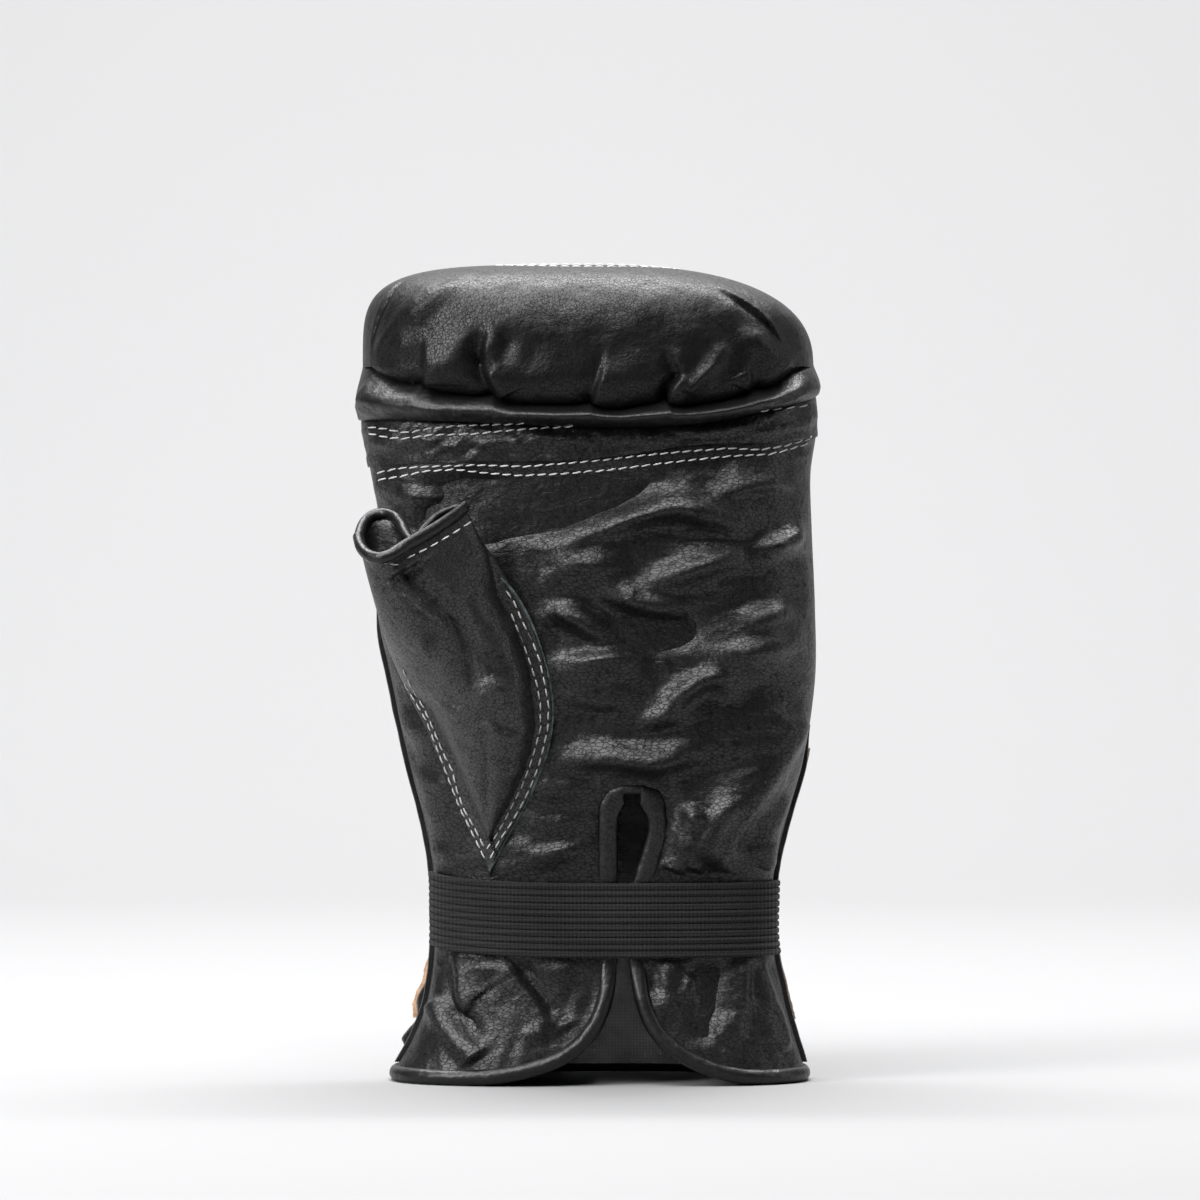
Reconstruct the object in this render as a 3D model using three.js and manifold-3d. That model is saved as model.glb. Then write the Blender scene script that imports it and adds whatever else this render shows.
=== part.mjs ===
// A bag glove for the left hand. It stands on its open cuff with the palm to the front (-Y).
// Millimetres, +Z up, the floor at z = 0. The leather is thin walls, the knuckle side is a thick
// pad that curls over the finger ends, and the hand goes in from below.

import * as THREE from "three";
import { mergeVertices } from "three/addons/utils/BufferGeometryUtils.js";
import Module from "manifold-3d";

const wasm = await Module();
wasm.setup();

// Overall sizes
const CREST_HEIGHT = 254;
const CORNER_HEIGHT = 222;
const WAIST_HEIGHT = 52;
const KNUCKLE_WIDTH = 142.4;
const KNUCKLE_SHIFT = 0.4;
const WAIST_WIDTH = 105.5;
const WAIST_SHIFT = 4.8;
const HEM_WIDTH = 129;
const HEM_SHIFT = 3.6;
const KNUCKLE_PALM_DEPTH = 43;
const KNUCKLE_BACK_DEPTH = 45;
const WAIST_PALM_DEPTH = 28;
const WAIST_BACK_DEPTH = 29;
const HEM_PALM_DEPTH = 33;
const HEM_BACK_DEPTH = 37;

// Walls, clearances and how finely the surfaces are divided
const LEATHER = 1.8;
const GAP = 0.3;
const COLUMNS = 32;
const SEAM_MARGIN = 0.07;
const FLAT_MARGIN = 8;

// Finger end: a padded roll that hangs over the palm
const ROLL_PROUD = 9;
const ROLL_WALL = 10;
const ROLL_TUCK = 5.5;
const LIP_DROP = 12.5;
const LIP_CURVE = 2.2;
const CREST_PAD = 17;
const KNUCKLE_PAD = 26;
const SIDE_PAD = 5;
const PAD_BOTTOM = 100;
const PAD_END = 5;
const ROLL_STEP = 0.25;

// Finger band and collar on the palm side
const BAND_SEAM_HEIGHT = 190;
const BAND_SEAM_RISE = 10;
const COLLAR_SEAM_HEIGHT = 203.5;
const COLLAR_SEAM_RISE = 12;
const COLLAR_BULGE = 2.6;
const COLLAR_TUCK = 3;
const FINGER_BAND_BULGE = 1.6;

// Vent in the palm, with its binding, and the flaps below it
const VENT_X = 10.7;
const VENT_REACH = 8;
const VENT_TOP = 92.8;
const VENT_BINDING_HALF_WIDTH = 3.1;
const VENT_BINDING_HALF_THICKNESS = 1.5;
const VENT_BINDING_RAMP = 5;
const LEFT_FLAP_REACH = 50;
const RIGHT_FLAP_REACH = 40;
const PIPING_RADIUS = 2.6;
const PIPING_UNDER_ELASTIC = 0.45;

// Elastic across the wrist
const ELASTIC_WIDTH = 23;
const ELASTIC_BOTTOM = 39.6;
const ELASTIC_LEFT_LIFT = 3.6;
const ELASTIC_THICKNESS = 1.6;
const ELASTIC_CLEARANCE = 0.6;
const ELASTIC_RIBS = 11;
const ELASTIC_RIB_DEPTH = 0.35;
const ELASTIC_LEFT_END = 0.9;
const ELASTIC_RIGHT_END = 0.955;

// Side welts
const WELT_HALF_WIDTH = 2.4;
const WELT_THICKNESS = 1.5;
const WELT_CLEARANCE = 0.6;
const LEFT_WELT_TOP = 150;
const RIGHT_WELT_TOP = 112;

// Back of the cuff, its patch and its lining
const PATCH_BOTTOM = 19;
const PATCH_THICKNESS = 1.8;
const PATCH_MARGIN = 2;
const LINING = 1.2;
const LINING_MARGIN = 3;
const CUFF_FLUTES = 7;
const CUFF_FLUTE_DEPTH = 1.8;
const FLUTE_FULL_HEIGHT = 17;
const FLUTE_FADE = 28;
const CUFF_SIDE_PUFF = 7;
const CUFF_PUFF_HEIGHT = 27;
const CUFF_PUFF_SPREAD = 14;

// Thumb sleeve: its point lies low on the palm, and it leans to the left
const THUMB_POINT_X = -30;
const THUMB_POINT_HEIGHT = 64;
const THUMB_LEAN = THREE.MathUtils.degToRad(14);
const THUMB_LENGTH = 107.5;
const THUMB_LEFT_REACH = 16;
const THUMB_RIGHT_REACH = 31.5;
const THUMB_MOUTH_FRONT = 60;
const THUMB_FRONT_BULGE = 17;
const THUMB_MOUTH_BULGE = 9;
const THUMB_MOUTH_TILT = 0.62;
const THUMB_ROOT_DEPTH = 9;
const THUMB_PINCH = 0.8;
const THUMB_PINCH_ACROSS = 2;
const THUMB_PINCH_WIDTH = 5;
const THUMB_CREASE_DEPTH = 3;
const THUMB_CREASE_WIDTH = 4;
const THUMB_BINDING_RADIUS = 1.9;

// Folds: how far the largest one stands out, and its half width
const FOLD_RISE = 2.6;
const FOLD_SPREAD = 7;
const PLEAT_DEPTH = 6;
const PLEAT_WIDTH = 5;

const WAIST = {
  left: WAIST_WIDTH / 2 - WAIST_SHIFT,
  right: WAIST_WIDTH / 2 + WAIST_SHIFT,
  palm: WAIST_PALM_DEPTH,
  back: WAIST_BACK_DEPTH,
};
const KNUCKLES = {
  left: KNUCKLE_WIDTH / 2 - KNUCKLE_SHIFT,
  right: KNUCKLE_WIDTH / 2 + KNUCKLE_SHIFT,
  palm: KNUCKLE_PALM_DEPTH,
  back: KNUCKLE_BACK_DEPTH,
};
const HEM = {
  left: HEM_WIDTH / 2 - HEM_SHIFT,
  right: HEM_WIDTH / 2 + HEM_SHIFT,
  palm: HEM_PALM_DEPTH,
  back: HEM_BACK_DEPTH,
};

// The hand's outline. up: from the waist (0) to the corners of the finger end (1). The other
// columns run from the waist's size (0) to the knuckles' size (1).
const HAND_ROWS = [
  { up: 0.0, left: 0.0, right: 0.0, palm: 0.0, back: 0.0 },
  { up: 0.08, left: 0.02, right: 0.06, palm: 0.03, back: 0.04 },
  { up: 0.165, left: 0.13, right: 0.3, palm: 0.2, back: 0.2 },
  { up: 0.28, left: 0.35, right: 0.69, palm: 0.42, back: 0.45 },
  { up: 0.43, left: 0.59, right: 0.96, palm: 0.68, back: 0.72 },
  { up: 0.56, left: 0.78, right: 0.96, palm: 0.86, back: 0.9 },
  { up: 0.72, left: 0.76, right: 0.88, palm: 0.97, back: 1.0 },
  { up: 0.81, left: 0.87, right: 0.86, palm: 1.0, back: 1.02 },
  { up: 0.9, left: 1.0, right: 1.0, palm: 1.0, back: 1.0 },
  { up: 1.0, left: 0.98, right: 0.92, palm: 1.0, back: 0.94 },
];

// The cuff's outline. down: from the waist (0) to the floor (1). The other columns run from the
// waist's size (0) to the hem's size (1).
const CUFF_ROWS = [
  { down: 0.0, left: 0.0, right: 0.0, palm: 0.0, back: 0.0 },
  { down: 0.14, left: 0.0, right: 0.02, palm: 0.0, back: 0.03 },
  { down: 0.29, left: 0.03, right: 0.12, palm: 0.06, back: 0.12 },
  { down: 0.42, left: 0.1, right: 0.27, palm: 0.22, back: 0.27 },
  { down: 0.56, left: 0.22, right: 0.42, palm: 0.42, back: 0.47 },
  { down: 0.71, left: 0.45, right: 0.63, palm: 0.66, back: 0.7 },
  { down: 0.81, left: 0.65, right: 0.78, palm: 0.82, back: 0.85 },
  { down: 0.93, left: 0.93, right: 0.96, palm: 0.96, back: 0.97 },
  { down: 1.0, left: 1.0, right: 1.0, palm: 1.0, back: 1.0 },
];

// Seams across the palm. across: -1 at the left side seam, 1 at the right one. rise: shares of
// the seam's own rise.
const BAND_SEAM = [
  { across: -1.0, rise: 0.0 },
  { across: -0.5, rise: 0.07 },
  { across: 0.0, rise: 0.18 },
  { across: 0.3, rise: 0.6 },
  { across: 0.6, rise: 0.72 },
  { across: 1.0, rise: 1.0 },
];
const COLLAR_SEAM = [
  { across: -1.0, rise: 0.27 },
  { across: -0.4, rise: 0.15 },
  { across: 0.0, rise: 0.0 },
  { across: 0.3, rise: 0.08 },
  { across: 0.6, rise: 0.5 },
  { across: 1.0, rise: 1.0 },
];

// The vent's binding, as its middle line. up: share of the vent's top. left and right: shares of
// the vent's reach to each side of its middle.
const VENT_ROWS = [
  { up: 0.56, left: -0.51, right: 0.56 },
  { up: 0.69, left: -0.55, right: 0.84 },
  { up: 0.78, left: -0.56, right: 1.16 },
  { up: 0.86, left: -0.55, right: 1.38 },
  { up: 0.935, left: -0.44, right: 1.21 },
  { up: 0.985, left: -0.05, right: 0.81 },
  { up: 1.0, left: 0.38, right: 0.38 },
];

// The flaps' edges below the vent. up: share of the elastic's lower edge. left and right: shares
// of each flap's reach.
const FLAP_ROWS = [
  { up: 1.0, left: 0.0, right: 0.0 },
  { up: 0.68, left: 0.026, right: 0.045 },
  { up: 0.42, left: 0.12, right: 0.16 },
  { up: 0.23, left: 0.29, right: 0.38 },
  { up: 0.13, left: 0.5, right: 0.6 },
  { up: 0.075, left: 0.74, right: 0.82 },
  { up: 0.06, left: 1.0, right: 1.0 },
];

// Soft folds of the palm leather. from and to: across as a share of half the knuckle width and up
// as a share of the crest height. rise and spread: shares of the largest fold's.
const PALM_FOLDS = [
  { fromX: -0.12, fromUp: 0.66, toX: 0.06, toUp: 0.69, rise: 0.6, spread: 0.7 },
  { fromX: 0.06, fromUp: 0.69, toX: 0.35, toUp: 0.71, rise: 0.8, spread: 0.8 },
  { fromX: 0.4, fromUp: 0.7, toX: 0.94, toUp: 0.69, rise: 0.7, spread: 0.8 },
  { fromX: 0.22, fromUp: 0.64, toX: 0.74, toUp: 0.615, rise: 0.8, spread: 0.8 },
  { fromX: 0.01, fromUp: 0.6, toX: 0.31, toUp: 0.575, rise: 0.6, spread: 0.7 },
  { fromX: 0.57, fromUp: 0.565, toX: 0.93, toUp: 0.615, rise: 0.7, spread: 0.8 },
  { fromX: 0.44, fromUp: 0.51, toX: 0.87, toUp: 0.555, rise: 0.6, spread: 0.8 },
  { fromX: -0.12, fromUp: 0.505, toX: 0.48, toUp: 0.48, rise: 0.8, spread: 0.9 },
  { fromX: 0.22, fromUp: 0.445, toX: 0.65, toUp: 0.495, rise: 0.5, spread: 0.7 },
  { fromX: -0.16, fromUp: 0.385, toX: 0.61, toUp: 0.388, rise: 1.0, spread: 1.0 },
  { fromX: 0.94, fromUp: 0.43, toX: 0.67, toUp: 0.32, rise: 1.0, spread: 0.6 },
  { fromX: 0.67, fromUp: 0.32, toX: 0.48, toUp: 0.25, rise: 0.8, spread: 0.6 },
  { fromX: -0.75, fromUp: 0.71, toX: 0.6, toUp: 0.735, rise: -0.8, spread: 1.0 },
  { fromX: 0.84, fromUp: 0.34, toX: 0.62, toUp: 0.25, rise: -0.8, spread: 0.6 },
];

// Puckers of the two flaps below the elastic, with the same columns
const FLAP_FOLDS = [
  { fromX: -0.38, fromUp: 0.16, toX: -0.19, toUp: 0.05, rise: -0.9, spread: 0.55 },
  { fromX: -0.47, fromUp: 0.16, toX: -0.2, toUp: 0.075, rise: 0.9, spread: 0.55 },
  { fromX: -0.68, fromUp: 0.1, toX: -0.4, toUp: 0.045, rise: -1.0, spread: 0.55 },
  { fromX: -0.6, fromUp: 0.15, toX: -0.56, toUp: 0.1, rise: 0.8, spread: 0.5 },
  { fromX: -0.12, fromUp: 0.14, toX: -0.1, toUp: 0.06, rise: 0.7, spread: 0.5 },
  { fromX: 0.56, fromUp: 0.145, toX: 0.5, toUp: 0.06, rise: -0.9, spread: 0.5 },
  { fromX: 0.44, fromUp: 0.14, toX: 0.38, toUp: 0.07, rise: 0.8, spread: 0.5 },
  { fromX: 0.64, fromUp: 0.14, toX: 0.66, toUp: 0.05, rise: 0.8, spread: 0.5 },
  { fromX: 0.8, fromUp: 0.14, toX: 0.86, toUp: 0.05, rise: 0.7, spread: 0.4 },
  { fromX: 0.72, fromUp: 0.14, toX: 0.76, toUp: 0.05, rise: -0.7, spread: 0.4 },
];

// Pleats of the finger end, gathered at its lip. x: share of half the width. lean: how far the
// pleat shifts on its way to the crest. depth and width: shares of the largest pleat's. reach:
// how far up it goes, from the lip (0) to the crest (1).
const PLEATS = [
  { x: -0.71, lean: 0.03, depth: 0.5, width: 1.0, reach: 0.5 },
  { x: -0.43, lean: -0.06, depth: 1.0, width: 1.0, reach: 0.65 },
  { x: -0.31, lean: 0.05, depth: 0.5, width: 0.9, reach: 0.45 },
  { x: -0.2, lean: 0.04, depth: 0.6, width: 1.0, reach: 0.6 },
  { x: 0.02, lean: -0.02, depth: 0.7, width: 0.9, reach: 0.5 },
  { x: 0.3, lean: 0.06, depth: 1.0, width: 1.0, reach: 0.6 },
  { x: 0.46, lean: 0.1, depth: 0.6, width: 1.0, reach: 0.5 },
  { x: 0.66, lean: -0.02, depth: 0.9, width: 0.9, reach: 0.55 },
];

// The thumb sleeve's sections. up: share of its length. left and right: shares of its reach to
// each side of its middle line. front and back: shares of its bulge before and behind that line.
// free: 0 on the palm, 1 clear of it.
const THUMB_ROWS = [
  { up: 0.0, left: 0.02, right: 0.06, front: 0.05, back: 0.3, free: 0 },
  { up: 0.05, left: 0.06, right: 0.22, front: 0.16, back: 0.6, free: 0 },
  { up: 0.12, left: 0.12, right: 0.45, front: 0.34, back: 1, free: 0 },
  { up: 0.2, left: 0.18, right: 0.66, front: 0.52, back: 1, free: 0 },
  { up: 0.28, left: 0.25, right: 0.83, front: 0.68, back: 1, free: 0 },
  { up: 0.38, left: 0.36, right: 0.95, front: 0.84, back: 1, free: 0 },
  { up: 0.5, left: 0.54, right: 1.0, front: 0.98, back: 1, free: 0.05 },
  { up: 0.6, left: 0.7, right: 0.98, front: 1.0, back: 0.95, free: 0.2 },
  { up: 0.7, left: 0.82, right: 0.92, front: 0.95, back: 0.9, free: 0.5 },
  { up: 0.8, left: 0.88, right: 0.82, front: 0.82, back: 0.9, free: 0.8 },
  { up: 0.88, left: 0.92, right: 0.75, front: 0.68, back: 0.95, free: 0.95 },
  { up: 0.95, left: 0.97, right: 0.71, front: 0.57, back: 1, free: 1 },
  { up: 1.0, left: 1.0, right: 0.7, front: 0.53, back: 1, free: 1 },
];

// The dark crease down the thumb sleeve. across: share of its right reach.
const THUMB_CREASE = [
  { up: 0.0, across: 0.0 },
  { up: 0.22, across: 0.15 },
  { up: 0.44, across: 0.29 },
  { up: 0.56, across: 0.34 },
  { up: 0.68, across: 0.34 },
  { up: 0.74, across: 0.28 },
  { up: 0.83, across: 0.1 },
  { up: 0.95, across: -0.08 },
];

// A value read from a table by a smooth curve through its rows
function follow(rows, along, column, at) {
  const last = rows.length - 1;
  const rising = rows[last][along] > rows[0][along] ? 1 : -1;
  const t = THREE.MathUtils.clamp(at * rising, rows[0][along] * rising, rows[last][along] * rising);
  let i = 0;
  while (i < last - 1 && rows[i + 1][along] * rising < t) {
    i += 1;
  }
  const slope = (k) => {
    const a = rows[Math.max(k - 1, 0)];
    const b = rows[Math.min(k + 1, last)];
    return (b[column] - a[column]) / ((b[along] - a[along]) * rising);
  };
  const span = (rows[i + 1][along] - rows[i][along]) * rising;
  const s = (t - rows[i][along] * rising) / span;
  const s2 = s * s;
  const s3 = s2 * s;
  return (
    (2 * s3 - 3 * s2 + 1) * rows[i][column] +
    (s3 - 2 * s2 + s) * span * slope(i) +
    (3 * s2 - 2 * s3) * rows[i + 1][column] +
    (s3 - s2) * span * slope(i + 1)
  );
}

// The body's sizes at a height: seams to the left and right, depth of palm and of back
function bodyAt(z) {
  const cuff = z < WAIST_HEIGHT;
  const rows = cuff ? CUFF_ROWS : HAND_ROWS;
  const along = cuff ? "down" : "up";
  const length = cuff ? -WAIST_HEIGHT : CORNER_HEIGHT - WAIST_HEIGHT;
  const end = cuff ? HEM : KNUCKLES;
  const share = (z - WAIST_HEIGHT) / length;
  const size = {};
  for (const side of ["left", "right", "palm", "back"]) {
    size[side] = THREE.MathUtils.lerp(WAIST[side], end[side], follow(rows, along, side, share));
  }
  size.middle = (size.right - size.left) / 2;
  size.half = (size.right + size.left) / 2;
  return size;
}

const PALM_ROUNDNESS = 2.6;
const BACK_ROUNDNESS = 2.3;
const LEFT_CORNER_ROUNDNESS = 4.3;
const RIGHT_CORNER_ROUNDNESS = 2.5;
const CREST_ROUNDNESS = 2.3;

// Height of a rounded arch over a base from -1 to 1, 1 in the middle
function arch(x, roundness) {
  return Math.max(0, 1 - Math.abs(x) ** roundness) ** (1 / roundness);
}

const spread = (across) => Math.sin((across * Math.PI) / 2);

// How far a sheet's folds stand out at a point of the palm
function foldsAt(folds, x, z) {
  let rise = 0;
  for (const fold of folds) {
    const from = new THREE.Vector2(fold.fromX * KNUCKLE_WIDTH / 2, fold.fromUp * CREST_HEIGHT);
    const to = new THREE.Vector2(fold.toX * KNUCKLE_WIDTH / 2, fold.toUp * CREST_HEIGHT);
    const run = to.clone().sub(from);
    const point = new THREE.Vector2(x, z);
    const share = THREE.MathUtils.clamp(point.clone().sub(from).dot(run) / run.lengthSq(), 0, 1);
    const away = point.distanceTo(from.addScaledVector(run, share));
    rise += fold.rise * FOLD_RISE * Math.exp(-((away / (fold.spread * FOLD_SPREAD)) ** 2));
  }
  return rise;
}

// The elastic's lower edge, a little higher at the left side seam
function elasticBottom(across) {
  return ELASTIC_BOTTOM + ELASTIC_LEFT_LIFT * Math.max(0, -across) ** 2;
}

// 0 where the elastic presses the leather flat, 1 away from it
function clearOfElastic(across, z) {
  const bottom = elasticBottom(across);
  const above = z - bottom - ELASTIC_WIDTH;
  return THREE.MathUtils.smoothstep(Math.max(bottom - z, above), FLAT_MARGIN, 2 * FLAT_MARGIN);
}

// A point of the body's skin with no folds, on the palm side (-1) or the back side (1)
function plainSkin(across, z, side) {
  const size = bodyAt(z);
  const x = spread(across);
  const palm = side < 0;
  const depth = (palm ? size.palm : size.back) * arch(x, palm ? PALM_ROUNDNESS : BACK_ROUNDNESS);
  return new THREE.Vector3(size.middle + size.half * x, side * (GAP / 2 + depth), z);
}

// The level direction that points straight out of the skin, so that seams at one height stay there
function skinNormal(across, z, side) {
  const step = 0.02;
  const low = Math.max(across - step, -1);
  const high = Math.min(across + step, 1);
  const sideways = plainSkin(high, z, side).sub(plainSkin(low, z, side));
  return new THREE.Vector3(-sideways.y, sideways.x, 0).multiplyScalar(side).normalize();
}

// A point of the skin moved outwards by an amount
function offsetSkin(across, z, side, amount) {
  return plainSkin(across, z, side).addScaledVector(skinNormal(across, z, side), amount);
}

// Where a point seen from the front lies across the palm
function acrossAt(x, z) {
  const size = bodyAt(z);
  const share = THREE.MathUtils.clamp((x - size.middle) / size.half, -1, 1);
  return (Math.asin(share) * 2) / Math.PI;
}

// A closed surface from triangles, with collapsed ones dropped and its faces turned outwards
function closedSurface(points, triangles) {
  const positions = points.flatMap((p) => [p.x, p.y, p.z]);
  let geometry = new THREE.BufferGeometry();
  geometry.setAttribute("position", new THREE.Float32BufferAttribute(positions, 3));
  geometry.setIndex(triangles.flat());
  geometry = mergeVertices(geometry, 1e-3);
  const at = geometry.getAttribute("position");
  const corner = (i) => new THREE.Vector3().fromBufferAttribute(at, i);
  const kept = [];
  let volume = 0;
  const index = geometry.getIndex().array;
  for (let i = 0; i < index.length; i += 3) {
    const [a, b, c] = [index[i], index[i + 1], index[i + 2]];
    if (a !== b && b !== c && c !== a) {
      kept.push([a, b, c]);
      volume += corner(a).dot(corner(b).cross(corner(c)));
    }
  }
  geometry.setIndex(kept.map((t) => (volume < 0 ? t.reverse() : t)).flat());
  return geometry;
}

// The two triangles of each cell of a grid whose point (row, column) has the given number
function gridTriangles(rows, columns, number, turned = false) {
  const triangles = [];
  for (let i = 0; i < rows; i += 1) {
    for (let j = 0; j < columns; j += 1) {
      const a = number(i, j);
      const b = number(i, j + 1);
      const c = number(i + 1, j + 1);
      const d = number(i + 1, j);
      triangles.push(turned ? [a, c, b] : [a, b, c], turned ? [a, d, c] : [a, c, d]);
    }
  }
  return triangles;
}

// A closed wall between an outer and an inner surface, both functions of row and column shares
function wall(rows, columns, outer, inner) {
  const points = [];
  for (const surface of [outer, inner]) {
    for (let i = 0; i <= rows; i += 1) {
      for (let j = 0; j <= columns; j += 1) {
        points.push(surface(i / rows, j / columns));
      }
    }
  }
  const width = columns + 1;
  const innerStart = (rows + 1) * width;
  const face = (i, j) => i * width + j;
  const triangles = gridTriangles(rows, columns, face);
  triangles.push(...gridTriangles(rows, columns, (i, j) => innerStart + face(i, j), true));
  const edge = (number) => (i, j) => number(j) + (i ? innerStart : 0);
  triangles.push(...gridTriangles(1, columns, edge((j) => face(0, j)), true));
  triangles.push(...gridTriangles(1, columns, edge((j) => face(rows, j))));
  triangles.push(...gridTriangles(1, rows, edge((j) => face(j, 0))));
  triangles.push(...gridTriangles(1, rows, edge((j) => face(j, columns)), true));
  return closedSurface(points, triangles);
}

// A closed tube through rings of points, with flat ends or joined up into a loop
function tube(rings, looped = false) {
  const sides = rings[0].length;
  const points = rings.flat();
  const count = rings.length;
  const number = (i, j) => (i % count) * sides + (j % sides);
  const triangles = gridTriangles(looped ? count : count - 1, sides, number);
  if (!looped) {
    for (let j = 1; j < sides - 1; j += 1) {
      triangles.push([number(0, 0), number(0, j), number(0, j + 1)].reverse());
      triangles.push([number(count - 1, 0), number(count - 1, j), number(count - 1, j + 1)]);
    }
  }
  return closedSurface(points, triangles);
}

// Boolean joins and cuts of closed surfaces
function solid(geometry) {
  const vertProperties = new Float32Array(geometry.getAttribute("position").array);
  const triVerts = new Uint32Array(geometry.getIndex().array);
  return new wasm.Manifold(new wasm.Mesh({ numProp: 3, vertProperties, triVerts }));
}

function surfaceOf(manifold) {
  const mesh = manifold.getMesh();
  const geometry = new THREE.BufferGeometry();
  geometry.setAttribute("position", new THREE.BufferAttribute(mesh.vertProperties, 3));
  geometry.setIndex(new THREE.BufferAttribute(mesh.triVerts, 1));
  return geometry;
}

// Palm side, from the flaps to the finger end

const bandSeam = (across) =>
  BAND_SEAM_HEIGHT + BAND_SEAM_RISE * follow(BAND_SEAM, "across", "rise", across);
const collarSeam = (across) =>
  COLLAR_SEAM_HEIGHT + COLLAR_SEAM_RISE * follow(COLLAR_SEAM, "across", "rise", across);
const lipDrop = (across) => LIP_DROP * (1 - Math.abs(spread(across)) ** LIP_CURVE);
const collarTop = (across) => CORNER_HEIGHT - 4 * GAP - 0.75 * lipDrop(across);

const PIPING_APOTHEM = PIPING_RADIUS * Math.cos(Math.PI / 8);
const LEATHER_BOTTOM = 2 * PIPING_APOTHEM + GAP;

// A surface of the palm side between two seams, standing out by a relief, at a depth below it
function palmSurface(bottom, top, relief, depth) {
  return (up, share) => {
    const across = 2 * share - 1;
    const z = THREE.MathUtils.lerp(bottom(across), top(across), up);
    return offsetSkin(across, z, -1, relief(across, z, up) - depth);
  };
}

function palmStrip(rows, bottom, top, relief) {
  const outer = palmSurface(bottom, top, relief, 0);
  return wall(rows, COLUMNS, outer, palmSurface(bottom, top, relief, LEATHER));
}

// Folds run out towards the side seams, the elastic and the seam of the finger band
function palmRelief(across, z) {
  const x = plainSkin(across, z, -1).x;
  const fromSeam = THREE.MathUtils.smoothstep(1 - Math.abs(across), SEAM_MARGIN, 0.25);
  const fromBand = THREE.MathUtils.smoothstep(bandSeam(across) - z, 0, 8);
  const fromHem = THREE.MathUtils.smoothstep(z - LEATHER_BOTTOM, 0, 8);
  const folds = z > ELASTIC_BOTTOM ? PALM_FOLDS : FLAP_FOLDS;
  return foldsAt(folds, x, z) * fromSeam * fromBand * fromHem * clearOfElastic(across, z);
}

// The binding's middle line seen from the front, from one flap's foot over the vent to the other
function bindingLine() {
  const line = { left: [], right: [] };
  for (const [side, reach] of [["left", -LEFT_FLAP_REACH], ["right", RIGHT_FLAP_REACH]]) {
    const start = VENT_X + VENT_REACH * VENT_ROWS[0][side];
    const steps = 10;
    for (let i = 0; i < steps; i += 1) {
      const share = i / steps;
      const row = FLAP_ROWS[0].up + (FLAP_ROWS[FLAP_ROWS.length - 1].up - FLAP_ROWS[0].up) *
        (1 - (1 - share) ** 2);
      const x = start + reach * follow(FLAP_ROWS, "up", side, row);
      line[side].push(new THREE.Vector2(x, Math.max(row * ELASTIC_BOTTOM, PIPING_APOTHEM)));
    }
    line[side].push(new THREE.Vector2(start + reach, PIPING_APOTHEM));
    line[side].reverse();
  }
  return line;
}

// The vent's part of the binding, from the elastic over the top and back
function ventLine() {
  const left = VENT_ROWS.map((row) => new THREE.Vector2(VENT_X + VENT_REACH * row.left,
    row.up * VENT_TOP));
  const right = VENT_ROWS.slice(0, -1).map((row) =>
    new THREE.Vector2(VENT_X + VENT_REACH * row.right, row.up * VENT_TOP));
  return [...left, ...right.reverse()];
}

const flapLine = bindingLine();
const ventMiddle = new THREE.SplineCurve(ventLine()).getPoints(26);

// A line moved sideways by an amount, to the left of its direction
function besideLine(line, amount) {
  return line.map((point, i) => {
    const before = line[Math.max(i - 1, 0)];
    const after = line[Math.min(i + 1, line.length - 1)];
    const along = after.clone().sub(before).normalize();
    return new THREE.Vector2(point.x - along.y * amount, point.y + along.x * amount);
  });
}

// What is cut out of the palm: the vent and all below the flaps' edges, up to their bindings
function ventCutter() {
  const room = PIPING_RADIUS + GAP;
  const side = KNUCKLE_WIDTH;
  const left = besideLine(flapLine.left, room).filter((p) => p.y > LEATHER_BOTTOM);
  const right = besideLine([...flapLine.right].reverse(), room).filter((p) => p.y > LEATHER_BOTTOM);
  const top = besideLine(ventMiddle, VENT_BINDING_HALF_WIDTH + GAP);
  const outline = [
    new THREE.Vector2(-side, -side),
    new THREE.Vector2(-side, LEATHER_BOTTOM),
    ...left,
    ...top,
    ...right,
    new THREE.Vector2(side, LEATHER_BOTTOM),
    new THREE.Vector2(side, -side),
  ];
  const shape = new THREE.Shape(outline);
  const depth = 3 * KNUCKLE_PALM_DEPTH;
  const geometry = new THREE.ExtrudeGeometry(shape, { depth, bevelEnabled: false });
  geometry.rotateX(Math.PI / 2);
  geometry.deleteAttribute("normal");
  geometry.deleteAttribute("uv");
  return solid(mergeVertices(geometry, 1e-3));
}

const PALM_ROW_COUNT = 21;
const palmBottom = () => LEATHER_BOTTOM - 1;
const palmTop = (across) => bandSeam(across) - GAP / 2;

function palmWall() {
  return palmStrip(PALM_ROW_COUNT, palmBottom, palmTop, palmRelief);
}

function fingerBand() {
  const bottom = (across) => bandSeam(across) + GAP / 2;
  const top = (across) => collarSeam(across) - GAP / 2;
  const relief = (across, z, up) =>
    FINGER_BAND_BULGE * Math.sin(Math.PI * up) * arch(spread(across), PALM_ROUNDNESS);
  return palmStrip(2, bottom, top, relief);
}

function collar() {
  const bottom = (across) => collarSeam(across) + GAP / 2;
  const relief = (across, z, up) => {
    const bulge = COLLAR_BULGE * Math.sin(Math.PI * Math.min(1, 1.3 * up));
    const tuck = COLLAR_TUCK * up ** 2;
    return (bulge - tuck) * arch(spread(across), PALM_ROUNDNESS);
  };
  return palmStrip(4, bottom, collarTop, relief);
}

// Padded shell: the roll of the finger end and the pad on the back of the hand

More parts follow.
